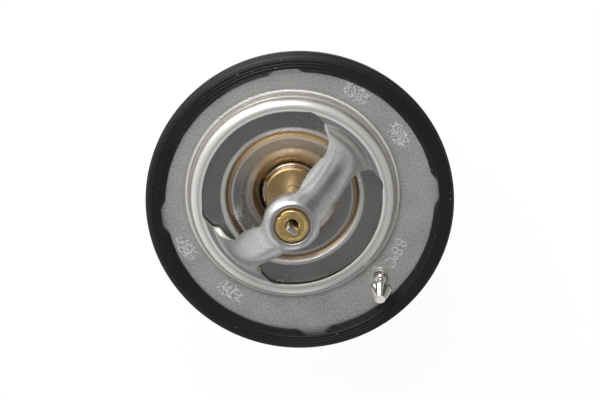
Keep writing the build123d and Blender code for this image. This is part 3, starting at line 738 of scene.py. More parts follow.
@dataclass
class OutletBridge:
    """Drawn one-piece bridge: ring with a rounded shoulder, two crowned arms, boss with a well.

    Attributes:
        roll, roll_fade: width of the port's rolled edge, and the degrees over which it fades out.
        flare, waist, boss_blend: rounding at a window's outer end, half width of the arm between the
            windows, and rounding beside the boss.
        skirt_end, skirt_stop, skirt_share: where the boss's foot has faded out, where its side ends,
            and its least depth as a share of the sheet.
        dome_sweep, lip_share: degrees of the ellipse over the boss, and how far the well's lip reaches in.
        boss_fall, arm_below, join_width, clear_radius: slope of the boss's field beyond its circle,
            how far the arm stays below it, width of their soft join, and the radius free of the arm.
        table_reach, table_counts: size and steps of the height table, along and across.
        blur_steps, blur_levels: fine and broad blur in steps, and the heights where they change over.
        near_rows, far_rows, columns: rows of the arm's grid near the boss and beyond, and its columns.
        top_rows, boss_gap_steps, port_gap_steps: rows over the boss's top, and steps round the boss and
            round the port between two arms.
        stations: reach, height, lean, half width and edge drop of the arm's sections.
    """

    wall_radius: float = 20.05
    shoulder_height: float = 3.8
    shoulder_round: float = 2.05
    port_radius: float = 17.67
    sheet: float = 1.0
    base_radius: float = 21.25
    base_top: float = -1.0
    foot_radius: float = 20.24
    foot_height: float = 0.25
    roll: float = 0.3
    window_reach: float = 15.0
    ring_corner: float = 2.2
    flare: float = 3.4
    waist: float = 3.45
    boss_blend: float = 3.5
    boss_radius: float = 5.3
    boss_height: float = 20.4
    boss_depth: float = 3.9
    boss_crown: float = 1.55
    well_radius: float = 3.45
    well_depth: float = 1.1
    well_lip: float = 0.45
    shank_radius: float = 2.3
    skirt_end: float = 7.5
    skirt_stop: float = 7.6
    skirt_share: float = 0.9
    skirt_rows: int = 6
    dome_sweep: float = 64.0
    lip_share: float = 0.7
    boss_fall: float = 3.0
    arm_below: float = 0.35
    join_width: float = 0.8
    clear_radius: float = 3.8
    table_reach: Point = (18.0, 10.5)
    table_counts: tuple[int, int] = (361, 212)
    blur_steps: Point = (3.0, 8.0)
    blur_levels: Point = (7.0, 12.0)
    near_rows: int = 24
    far_rows: int = 120
    top_rows: int = 16
    boss_gap_steps: int = 42
    port_gap_steps: int = 126
    roll_fade: float = 6.0
    columns: int = 65
    stations: tuple = (
        (16.45, 2.9, 0.0, 9.2, 2.80),
        (15.90, 7.0, 16.0, 5.6, 2.60),
        (14.00, 10.7, 31.0, 4.2, 2.60),
        (11.40, 14.1, 42.0, 3.9, 2.45),
        (8.20, 17.0, 51.0, 4.0, 2.45),
        (4.60, 19.5, 61.0, 4.8, 2.80),
    )
    table: tuple = field(default=(), init=False)

    def window_edge(self) -> np.ndarray:
        """Outline of a window beside one arm, from the boss's side to the port circle.

        Tangent arcs join the boss circle, the arm's straight waist, the line across the arms that
        ends the window, and the port circle.

        Returns:
            Rows of distance along and across the arms.
        """
        blend_v = self.waist + self.boss_blend
        blend_u = sqrt((self.boss_radius + self.boss_blend) ** 2 - blend_v**2)
        touch = atan2(blend_v, blend_u)
        corner_u = self.window_reach - self.ring_corner
        corner_v = sqrt((self.port_radius - self.ring_corner) ** 2 - corner_u**2)
        arcs = (
            ((0.0, 0.0), self.boss_radius, pi / 2, touch, 20),
            ((blend_u, blend_v), self.boss_blend, touch + pi, 1.5 * pi, 20),
            ((self.window_reach - self.flare, self.waist + self.flare), self.flare, -pi / 2, 0.0, 28),
            ((corner_u, corner_v), self.ring_corner, 0.0, atan2(corner_v, corner_u), 16),
        )
        parts = [
            np.stack(
                [c[0] + r * np.cos(np.linspace(a, b, n)), c[1] + r * np.sin(np.linspace(a, b, n))], axis=1
            )
            for c, r, a, b, n in arcs
        ]
        return np.vstack(parts)

    def dome(self) -> np.ndarray:
        """Top of the boss, from its skirt up to the lip of the well: part of an ellipse."""
        sweep = radians(self.dome_sweep)
        angle = np.linspace(sweep, 0, 60)
        inner = self.well_radius + self.well_lip * self.lip_share
        radius = inner + (self.boss_radius - inner) * np.sin(angle) / sin(sweep)
        height = self.boss_height - self.boss_crown * (1 - np.cos(angle)) / (1 - cos(sweep))
        return np.stack([radius, height], axis=1)

    def build_table(self) -> None:
        """Works out the height of the arm's outer face over a fine plan grid.

        Each section is a circular crown square to the crest line: a point at distance t across
        drops by R - sqrt(R^2 - t^2) along the section's own upright. The sections' values follow
        natural splines along the crest; each row of the grid then reads height against reach. Arm
        and boss join by the soft maximum (a + b + sqrt((a - b)^2 + width^2)) / 2.
        """
        rows = np.array(self.stations)
        chord = np.concatenate([[0], np.cumsum(np.hypot(*np.diff(rows[:, :2], axis=0).T))])
        at = np.linspace(0, chord[-1], 900)
        reach, height, lean, half, drop = (natural_spline(chord, rows[:, k], at) for k in range(5))
        crown = (half**2 + drop**2) / (2 * drop)
        along, across = (
            np.linspace(0, span, count) for span, count in zip(self.table_reach, self.table_counts)
        )
        tilt = np.radians(lean)
        inside = np.minimum(across[:, None], half * 1.02)
        sink = crown - np.sqrt(np.maximum(crown**2 - inside**2, 0.01))
        steep = inside / np.sqrt(np.maximum(crown**2 - inside**2, 0.2))
        sink = sink + steep * (across[:, None] - inside)
        place = reach - sink * np.cos(tilt)
        level = height - sink * np.sin(tilt)
        surface = np.stack(
            [
                np.interp(along, np.maximum.accumulate(p[::-1]), z[::-1], right=-20.0)
                for p, z in zip(place, level)
            ]
        )
        side = self.dome()
        far = np.hypot(along[None], across[:, None])
        boss = np.interp(far, side[::-1, 0], side[::-1, 1])
        boss = np.where(far > self.boss_radius, side[0, 1] - self.boss_fall * (far - self.boss_radius), boss)
        arm = np.minimum(surface, self.boss_height - self.arm_below)
        joined = (arm + boss + np.sqrt((arm - boss) ** 2 + self.join_width**2)) / 2
        joined = boss + (joined - boss) * smooth_step(np.clip((far - self.clear_radius) / 0.9, 0, 1))
        whole = np.maximum(joined, self.shoulder_height)
        fine, broad = (self.blurred(whole, steps) for steps in self.blur_steps)
        low, high = self.blur_levels
        share = np.clip((fine - low) / (high - low), 0, 1)
        lip = np.clip((far - self.clear_radius) / 0.8, 0, 1)
        mixed = fine + (broad - fine) * share
        self.table = (along, across, whole + (mixed - whole) * lip)

    @staticmethod
    def blurred(field_: np.ndarray, spread: float) -> np.ndarray:
        """Gaussian blur of a height field, mirrored at its near edges and held at its far ones.

        Args:
            field_: heights, one row for each distance across.
            spread: standard deviation in grid steps.

        Returns:
            The blurred heights.
        """
        reach = int(3 * spread)
        taps = np.exp(-(np.arange(-reach, reach + 1) ** 2) / (2 * spread**2))
        taps /= taps.sum()
        for axis in (0, 1):
            work = np.moveaxis(field_, axis, 0)
            padded = np.concatenate([work[1 : reach + 1][::-1], work, np.repeat(work[-1:], reach, axis=0)])
            work = sum(tap * padded[k : k + len(work)] for k, tap in enumerate(taps))
            field_ = np.moveaxis(work, 0, axis)
        return field_

    def height(self, along: np.ndarray, across: np.ndarray) -> np.ndarray:
        """Height of the outer face over places along and across the arms, by bilinear steps."""
        grid_u, grid_v, surface = self.table
        u = np.clip(np.abs(along) / (grid_u[1] - grid_u[0]), 0, len(grid_u) - 1.001)
        v = np.clip(np.abs(across) / (grid_v[1] - grid_v[0]), 0, len(grid_v) - 1.001)
        i, j = u.astype(int), v.astype(int)
        a, b = u - i, v - j
        near = surface[j, i] * (1 - a) + surface[j, i + 1] * a
        over = surface[j + 1, i] * (1 - a) + surface[j + 1, i + 1] * a
        return near * (1 - b) + over * b

    def arm_grid(self) -> tuple[np.ndarray, np.ndarray]:
        """Plan grid of one arm, in rows of arcs about the valve axis.

        The rows run from the boss's circle to the port circle, close together where the arm's edge
        leaves the boss and where the crest is steep, and each row ends on the window's edge.

        Returns:
            Distances along and across the arm, one row for each arc.
        """
        edge = self.window_edge()
        edge_r = np.hypot(edge[:, 0], edge[:, 1])
        edge_a = np.arctan2(edge[:, 1], edge[:, 0])
        past = edge_r > self.boss_radius + 1e-4
        far_r = np.concatenate([[self.boss_radius], edge_r[past]])
        far_a = np.concatenate([[self.touch_angle()], edge_a[past]])
        near = self.boss_radius + (self.skirt_end - self.boss_radius) * np.linspace(0, 1, self.near_rows) ** 2
        crest_s = np.linspace(self.skirt_end, self.port_radius, 3000)
        crest_z = self.height(crest_s, np.zeros_like(crest_s))
        walk = np.concatenate([[0], np.cumsum(np.hypot(np.diff(crest_s), np.diff(crest_z)))])
        outer = np.interp(np.linspace(0, walk[-1], self.far_rows), walk, crest_s)[1:]
        rows = np.concatenate([near, outer])
        reach = np.interp(rows, far_r, far_a)
        radius = np.repeat(rows[:, None], self.columns, axis=1)
        angle = reach[:, None] * np.linspace(-1, 1, self.columns)
        return radius * np.cos(angle), radius * np.sin(angle)

    def touch_angle(self) -> float:
        """Direction in which the arm's edge leaves the boss's circle."""
        blend_v = self.waist + self.boss_blend
        return atan2(blend_v, sqrt((self.boss_radius + self.boss_blend) ** 2 - blend_v**2))

    def skirt(
        self, along: np.ndarray, across: np.ndarray, height: np.ndarray
    ) -> tuple[np.ndarray, np.ndarray]:
        """Upright side of the boss below a free edge of its top.

        Each point of the edge drops to the boss's foot on the boss's circle; from there a smooth
        step takes the drop down to a little less than the sheet where the arm's straight edge begins.

        Args:
            along: distances along the arms at the edge's points.
            across: distances across the arms there.
            height: heights there.

        Returns:
            Points as rows of distance along, across and height, and the faces between them.
        """
        far = np.hypot(along, across)
        fade = np.clip((self.skirt_end - far) / (self.skirt_end - self.boss_radius - 0.01), 0, 1)
        least = self.skirt_share * self.sheet
        depth = least + (height - (self.boss_height - self.boss_depth) - least) * smooth_step(fade)
        level = height[:, None] - depth[:, None] * np.linspace(0, 1, self.skirt_rows)[None]
        points = np.stack(np.broadcast_arrays(along[:, None], across[:, None], level), axis=-1)
        return points, grid_faces(len(along), self.skirt_rows, False, False)

    def rolled_edge(self, gap: np.ndarray, top: float) -> tuple[np.ndarray, np.ndarray]:
        """Radii and heights of the port's rolled edge between two arms.

        The roll starts at the port circle, at the height top, and is nearly a quarter of an ellipse.
        Its width and drop fade out by a smooth step at both ends of the gap's directions.
        """
        part = smooth_step(
            np.clip(np.minimum(gap - gap[0], gap[-1] - gap) / radians(self.roll_fade), 0.02, 1)
        )
        turn = np.linspace(0, 0.45 * pi, 5)[:, None]
        return (
            self.port_radius - self.roll * np.sin(turn) * part,
            top - 0.9 * self.roll * (1 - np.cos(turn)) * part,
        )

    def build(self) -> bpy.types.Object:
        """Builds the outer face and gives it the sheet's thickness.

        Returns:
            The bridge piece.
        """
        self.build_table()
        along, across = self.arm_grid()
        height = self.height(along, across)
        share = np.linspace(-1, 1, self.columns)
        blocks, faces, slots = [], [], []

        def keep(
            points: np.ndarray, quads: np.ndarray, outward: float = 1.0, cut: np.ndarray | int = 0
        ) -> None:
            flat = points.reshape(-1, 3)
            faces.append(turned_to(flat, quads, outward) + sum(len(block) for block in blocks))
            slots.append(np.zeros(len(quads), int) + cut)
            blocks.append(flat)

        touch = self.touch_angle()
        round_gap = np.linspace(touch, pi - touch, self.boss_gap_steps)
        side = self.dome()[::-1]
        walk = np.concatenate([[0], np.cumsum(np.hypot(*np.diff(side, axis=0).T))])
        top = np.interp(np.linspace(0, walk[-1], self.top_rows), walk, side[:, 0])[:, None]
        full = np.concatenate([touch * share, round_gap[1:-1], touch * share + pi, round_gap[1:-1] + pi])
        top_u, top_v = top * np.cos(full), top * np.sin(full)
        top_z = self.height(top_u, top_v)
        keep(LAYOUT.deck(top_u, top_v, top_z), grid_faces(len(top), len(full), False, True))
        gap_u, gap_v = self.boss_radius * np.cos(round_gap), self.boss_radius * np.sin(round_gap)
        for way in (1, -1):
            keep(LAYOUT.deck(way * along, way * across, height), grid_faces(*along.shape, False, False))
            count = int(np.sum(np.hypot(along[:, 0], across[:, 0]) < self.skirt_stop))
            edges = [(along[:count, k], across[:count, k], height[:count, k]) for k in (0, -1)]
            edges.append((gap_u, gap_v, self.height(gap_u, gap_v)))
            for edge in edges:
                points, quads = self.skirt(*edge)
                cut = (
                    np.hypot(points[..., 0], points[..., 1]).ravel()[quads].min(axis=1)
                    >= self.skirt_end - 0.3
                )
                keep(LAYOUT.deck(way * points[..., 0], way * points[..., 1], points[..., 2]), quads, cut=cut)
        end = float(np.arctan2(across[-1, -1], along[-1, -1]))
        gap = np.linspace(end, pi - end, self.port_gap_steps)
        for turn in (0, pi):
            radius, level = self.rolled_edge(gap, float(height[-1, 0]))
            spot = LAYOUT.deck(radius * np.cos(gap + turn), radius * np.sin(gap + turn), level)
            keep(spot, grid_faces(*radius.shape, False, False))
        gap = gap[1:-1]
        angles = np.concatenate([end * share, gap, end * share + pi, gap + pi])
        ring = rounded_path(
            [
                (self.port_radius, float(height[-1, 0])),
                (18.0, self.shoulder_height),
                (self.wall_radius, self.shoulder_height),
                (self.wall_radius, self.foot_height + 0.2),
                (self.foot_radius, self.foot_height),
                (self.foot_radius, self.base_top),
                (self.base_radius, self.base_top),
            ],
            [0.0, self.shoulder_round, 0.1, 0.1, 0.2],
            12,
        )
        lip_z = float(top_z[0, 0])
        well = rounded_path(
            [
                (float(top[0, 0]), lip_z),
                (self.well_radius, self.boss_height),
                (self.well_radius, self.boss_height - self.well_depth),
                (self.shank_radius, self.boss_height - self.well_depth),
            ],
            [self.well_lip * 0.62, 0.12],
            6,
        )
        for outline, circle, outward in ((ring, angles, 1.0), (well, full, -1.0)):
            r, z = outline[:, :1], outline[:, 1:]
            quads = grid_faces(len(outline), len(circle), False, True)
            keep(LAYOUT.deck(r * np.cos(circle), r * np.sin(circle), z), quads, outward)
        quads, marks = np.vstack(faces), np.concatenate(slots)
        piece = piece_from("drawn_bridge", np.vstack(blocks), quads, 60.0, face_out=False, slots=marks)
        thick = add_modifier(piece, "SOLIDIFY", thickness=self.sheet * MM, offset=-1.0, use_even_offset=False)
        thick.material_offset_rim = 1
        add_modifier(
            piece, "BEVEL", width=0.1 * MM, segments=2, limit_method="ANGLE", angle_limit=radians(55)
        )
        return piece


@dataclass
class StakedBush:
    """Brass bush in the boss's well, its rim staked a little unevenly.

    Attributes:
        rim_radius: radius of the staked rim.
        nick_turn: direction of the nick in the rim, in degrees.
    """

    rim_radius: float = 3.06
    top: float = 20.53
    shank_radius: float = 2.25
    shank_bottom: float = 15.35
    well_floor: float = 19.3
    hole_radius: float = 1.17
    nick_turn: float = 141.0
    turns: int = 240

    def build(self) -> bpy.types.Object:
        """Builds the bush.

        A closed outline turned about the valve axis; the rim's radius adds low sine waves of the
        angle and drops by a narrow bell curve at the nick, and its height adds finer waves.

        Returns:
            The bush piece.
        """
        outline = np.array(
            [
                (self.hole_radius, self.shank_bottom),
                (self.shank_radius, self.shank_bottom),
                (self.shank_radius, self.well_floor),
                (self.rim_radius, self.well_floor),
                (self.rim_radius, self.top - 0.34),
                (self.rim_radius - 0.07, self.top - 0.16),
                (self.rim_radius - 0.2, self.top - 0.04),
                (self.rim_radius - 0.36, self.top),
                (self.rim_radius - 0.5, self.top - 0.02),
                (self.rim_radius - 0.62, self.top - 0.12),
                (self.rim_radius - 0.8, self.top - 0.17),
                (1.9, self.top - 0.16),
                (self.hole_radius + 0.36, self.top - 0.15),
                (self.hole_radius + 0.2, self.top - 0.19),
                (self.hole_radius + 0.05, self.top - 0.33),
                (self.hole_radius, self.top - 0.5),
            ]
        )
        angle = np.linspace(0, 2 * pi, self.turns, endpoint=False)[None]
        radius, height = outline[:, :1], outline[:, 1:]
        rim = np.clip((radius - 2.2) / 0.5, 0, 1) * (height > self.well_floor + 0.2)
        away = (np.degrees(angle) - self.nick_turn + 180) % 360 - 180
        nick = np.exp(-((away / 7.0) ** 2)) + 0.5 * np.exp(-(((away - 24) / 9.0) ** 2))
        waves = (
            0.035 * np.sin(3 * angle + 0.6) + 0.022 * np.sin(7 * angle + 2.0)
            + 0.014 * np.sin(13 * angle + 1.1)
        )
        radius = radius + rim * (waves - 0.30 * nick)
        height = height + rim * (0.03 * np.sin(5 * angle + 0.3) + 0.02 * np.sin(11 * angle) - 0.05 * nick)
        points = round_points(radius, height, angle, LAYOUT.valve)
        return piece_from("staked_bush", points, grid_faces(len(outline), self.turns, True, True), 50.0)


# ---------------------------------------------------------------- small things on the flange


@dataclass
class MouldedGasket:
    """Rubber ring that grips the flange: lips with four bowl-shaped notches, grooved crowns, ribbed rim.

    Attributes:
        lip_radius: inner radius of the lips.
        notch_turn: direction of the first notch, in degrees.
        notch_half: half width of a notch along the lip.
        notch_ramp: length over which the lip runs into a notch.
    """

    lip_radius: float = 26.1
    flange_radius: float = 28.0
    sheet: float = 1.0
    notch_turn: float = 6.1
    notch_depth: float = 0.9
    notch_half: float = 3.7
    notch_ramp: float = 2.3
    crown_start: float = 27.19
    turns: int = 640

    def side(self) -> np.ndarray:
        """Outline of one half, from the flange's groove over the crown to the middle of the rim."""
        grooves = []
        for radius in (27.75, 28.3):
            grooves += [(radius - 0.13, 1.7), (radius, 1.62), (radius + 0.13, 1.7)]
        points = [
            (self.flange_radius, 0.0), (self.lip_radius, 0.0), (self.lip_radius, 0.4), (27.2, 1.7), *grooves,
            (28.7, 1.7), (29.25, 1.5), (29.66, 1.28), (29.73, 1.02), (29.66, 0.8), (29.5, 0.45), (30.0, 0.1),
            (30.0, -0.5),
        ]
        radii = [0.0, 0.16, 0.45, *(0.06,) * 6, 0.3, 0.25, 0.2, 0.2, 0.2, 0.12, 0.12]
        return rounded_path(points, radii, 5)

    def build(self) -> bpy.types.Object:
        """Builds the ring.

        The outline turns about the flange's axis. On the lip's side a point's radius is the larger
        of its own and the lip's radius there: the plain radius, plus four smooth steps that make
        the notches, plus three low waves of a few hundredths of a millimetre.

        Returns:
            The gasket piece.
        """
        upper = self.side()
        lower = upper[::-1] * (1, -1) - (0, self.sheet)
        outline = np.vstack([upper, lower[1:-1]])
        angle = np.linspace(0, 2 * pi, self.turns, endpoint=False)
        from_notch = (angle - radians(self.notch_turn) + pi / 4) % (pi / 2) - pi / 4
        step = np.clip((self.notch_half - np.abs(from_notch) * self.lip_radius) / self.notch_ramp, 0, 1)
        wave = 0.025 * np.cos(7 * angle) + 0.02 * np.cos(19 * angle + 1) + 0.012 * np.cos(43 * angle + 2)
        lip = self.lip_radius + self.notch_depth * smooth_step(step) + np.abs(wave)
        radius = np.where(outline[:, :1] < self.crown_start, np.maximum(outline[:, :1], lip), outline[:, :1])
        points = round_points(radius, outline[:, 1:], angle)
        return piece_from("moulded_gasket", points, grid_faces(len(outline), self.turns, True, True), 50.0)


@dataclass
class DishedValve:
    """Valve plate: funnel neck, flat inner plate, rolled groove, flat outer plate.

    Attributes:
        middle: middle line of the sheet, as radius and height, from the neck to the rim.
        rounds: radii of its inner corners.
        sheet: thickness.
    """

    middle: tuple = (
        (6.333, -2.421), (8.5, 0.75), (11.85, 0.75), (12.45, 0.52), (12.7, 0.52), (13.6, 1.5), (18.3, 1.5)
    )
    rounds: tuple = (3.0, 0.25, 0.25, 0.3, 0.45)
    sheet: float = 1.0

    def build(self) -> bpy.types.Object:
        """Builds the plate: both faces lie half the sheet's thickness off the middle line.

        Returns:
            The valve piece.
        """
        line = rounded_path(list(self.middle), list(self.rounds), 8)
        way = np.gradient(line, axis=0)
        way /= np.linalg.norm(way, axis=1)[:, None]
        off = np.stack([-way[:, 1], way[:, 0]], axis=1) * self.sheet / 2
        outline = np.vstack([line + off, (line - off)[::-1]])
        return lathe("dished_valve", outline, LAYOUT.valve, 256)


@dataclass
class SealLip:
    """Rubber lip that wraps the rim of the valve plate and stands up behind the seat's edge.

    Attributes:
        rim: radius of the valve plate.
        plate_top: height of the plate's top face there.
        sheet: thickness of the plate.
    """

    rim: float = 18.3
    plate_top: float = 2.0
    sheet: float = 1.0
    wall: float = 0.5

    def build(self) -> bpy.types.Object:
        """Builds the lip.

        Returns:
            The seal piece.
        """
        top, under, outer = self.plate_top, self.plate_top - self.sheet, self.rim + self.wall
        corners = [
            (self.rim, top), (self.rim - 0.5, top), (self.rim - 0.32, top + 0.72),
            (self.rim - 0.1, top + 0.72),
            (outer, top), (outer, under - self.wall), (self.rim - 0.7, under - self.wall),
            (self.rim - 0.7, under),
            (self.rim, under),
        ]
        outline = rounded_path(corners, [0.0, 0.08, 0.08, 0.3, 0.2, 0.15, 0.0], 4)
        return lathe("seal_lip", outline, LAYOUT.valve)


@dataclass
class TurnedPin:
    """Loose vent pin: ball on the vent hole, neck, coned head, foot under the flange.

    Attributes:
        vent: centre of the vent hole.
        lean: lean of the pin, in degrees, and the direction it leans to.
        rise: height of the ball's centre.
    """

    vent: Point = (15.9013, -15.0003)
    lean: Point = (25.0, 261.0)
    rise: float = 0.7324
    ball: float = 1.55
    neck: float = 0.65
    shank: float = 0.45
    foot: float = 1.8
    foot_span: Point = (-4.7008, -3.8008)
    head: float = 2.3
    turns: int = 128

    def build(self) -> bpy.types.Object:
        """Builds the pin: a closed outline turned about its leaning axis.

        Returns:
            The pin piece.
        """
        low, high = -sqrt(self.ball**2 - self.shank**2), sqrt(self.ball**2 - self.neck**2)
        swing = np.linspace(atan2(low, self.shank), atan2(high, self.neck), 28)[:, None]
        ball = self.ball * np.concatenate([np.cos(swing), np.sin(swing)], axis=1)
        under, over = self.foot_span
        foot = rounded_path(
            [(0, under), (self.foot, under), (self.foot, over), (self.shank, over)], [0.2, 0.12], 4
        )
        head = rounded_path(
            [
                (self.neck, 2.0), (1.0, 2.3), (2.1, 3.3), (self.head, 3.6), (self.head, 3.95), (1.1, 6.15),
                (0, 6.15)
            ],
            [0.3, 0.3, 0.1, 0.06, 0.06], 5,
        )
        outline = np.vstack([foot, ball, head])
        tilt, turn = radians(self.lean[0]), radians(self.lean[1])
        axis = np.array([sin(tilt) * cos(turn), sin(tilt) * sin(turn), cos(tilt)])
        one = np.array([-sin(turn), cos(turn), 0.0])
        two = np.cross(axis, one)
        angle = np.linspace(0, 2 * pi, self.turns, endpoint=False)[None, :, None]
        round_ = np.cos(angle) * one + np.sin(angle) * two
        start = np.array([*self.vent, self.rise])
        points = start + outline[:, 1][:, None, None] * axis + outline[:, 0][:, None, None] * round_
        return piece_from("turned_pin", points, grid_faces(len(outline), self.turns, False, True), 30.0)


@dataclass
class FlangeMarks:
    """Weld prints and the stamped opening temperature on the flange.

    Attributes:
        weld_turns: directions of the weld prints from the valve axis, in degrees.
        weld_radius: distance of their middles from the valve axis.
        weld_size: radial and tangential size of a print.
        signs: character, place and height of each stamped sign.
        stroke: width of a stamped stroke.
    """

    weld_turns: tuple[float, ...] = (30.0, 58.5, 208.0, 238.5)
    weld_radius: float = 23.6
    weld_size: Point = (3.1, 5.4)
    stroke: float = 0.27
    signs: tuple = (
        ("8", 19.84, -8.14, 2.0), ("8", 19.09, -9.85, 2.0), ("o", 18.85, -11.2, 0.75),
        ("C", 17.78, -12.33, 1.9),
    )

    def weld_prints(self) -> list[bpy.types.Object]:
        """Builds the weld prints.

        Each is a fine grid. Its height is an oval, 1 - |p|^2.6 - |q|^2.6, made ragged by six seeded
        waves and cut off at the top, plus fine seeded noise; its rim sinks into the sheet.

        Returns:
            One piece for each print.
        """
        pieces = []
        for number, turn in enumerate(self.weld_turns):
            random = np.random.default_rng(40 + number)
            p, q = np.meshgrid(np.linspace(-1, 1, 40), np.linspace(-1, 1, 64), indexing="ij")
            rough = random.normal(size=p.shape)
            rough = (rough + np.roll(rough, 1, 0) + np.roll(rough, 1, 1) + np.roll(rough, (1, 1), (0, 1))) / 4
            slow = sum(
                np.cos(random.uniform(2, 7) * p + random.uniform(2, 8) * q + random.uniform(0, 2 * pi))
                for _ in range(6)
            )
            inside = 1 - np.abs(p) ** 2.6 - np.abs(q) ** 2.6 + 0.10 * slow
            height = np.clip(inside, -0.4, 0.25) * 0.14 + 0.028 * rough
            radius = self.weld_radius + p * self.weld_size[0] / 2
            angle = radians(turn) + q * self.weld_size[1] / 2 / self.weld_radius
            points = round_points(radius, height, angle, LAYOUT.valve)
            faces = grid_faces(*p.shape, False, False)
            pieces.append(face_up(piece_from(f"weld_print_{number + 1}", points, faces, 80.0)))
        return pieces

    def stamped_signs(self) -> list[bpy.types.Object]:
        """Builds the stamped signs as rows of thin raised strokes, their tops away from the centre.

        A stroke is an arc of an ellipse: a flat band with its edges drawn down to the sheet. An 8
        is two closed rings, one above the other, a C is an open ring and the degree sign a small one.

        Returns:
            One piece for each sign.
        """
        whole = (0.0, 2 * pi)
        shapes = {
            "8": ((0.0, 0.27, 0.40, 0.25, whole), (0.0, -0.26, 0.46, 0.28, whole)),
            "C": ((0.0, 0.0, 0.52, 0.54, (radians(42), radians(318))),),
            "o": ((0.0, 0.0, 0.5, 0.5, whole),),
        }
        pieces = []
        for number, (sign, x, y, tall) in enumerate(self.signs):
            out = atan2(y, x)
            up, right = np.array([cos(out), sin(out)]), np.array([sin(out), -cos(out)])
            blocks, faces, first = [], [], 0
            for mid_x, mid_y, half_x, half_y, (start, end) in shapes[sign]:
                turn = np.linspace(start, end, 40)[None]
                step = np.array([-0.5, -0.28, 0.0, 0.28, 0.5])[:, None] * self.stroke
                level = np.array([-0.02, 0.02, 0.026, 0.02, -0.02])[:, None] + 0 * turn
                half = 0.62 if sign == "8" else 0.9
                across = mid_x * tall + (half_x * tall * half + step) * np.cos(turn)
                above = mid_y * tall + (half_y * tall + step) * np.sin(turn)
                flat = np.array([x, y]) + across[..., None] * right + above[..., None] * up
                blocks.append(np.concatenate([flat, level[..., None]], axis=-1).reshape(-1, 3))
                faces.append(grid_faces(5, 40, False, False) + first)
                first += 200
            name = f"stamped_sign_{number + 1}"
            pieces.append(face_up(piece_from(name, np.vstack(blocks), np.vstack(faces), 80.0)))
        return pieces


# ---------------------------------------------------------------- studio


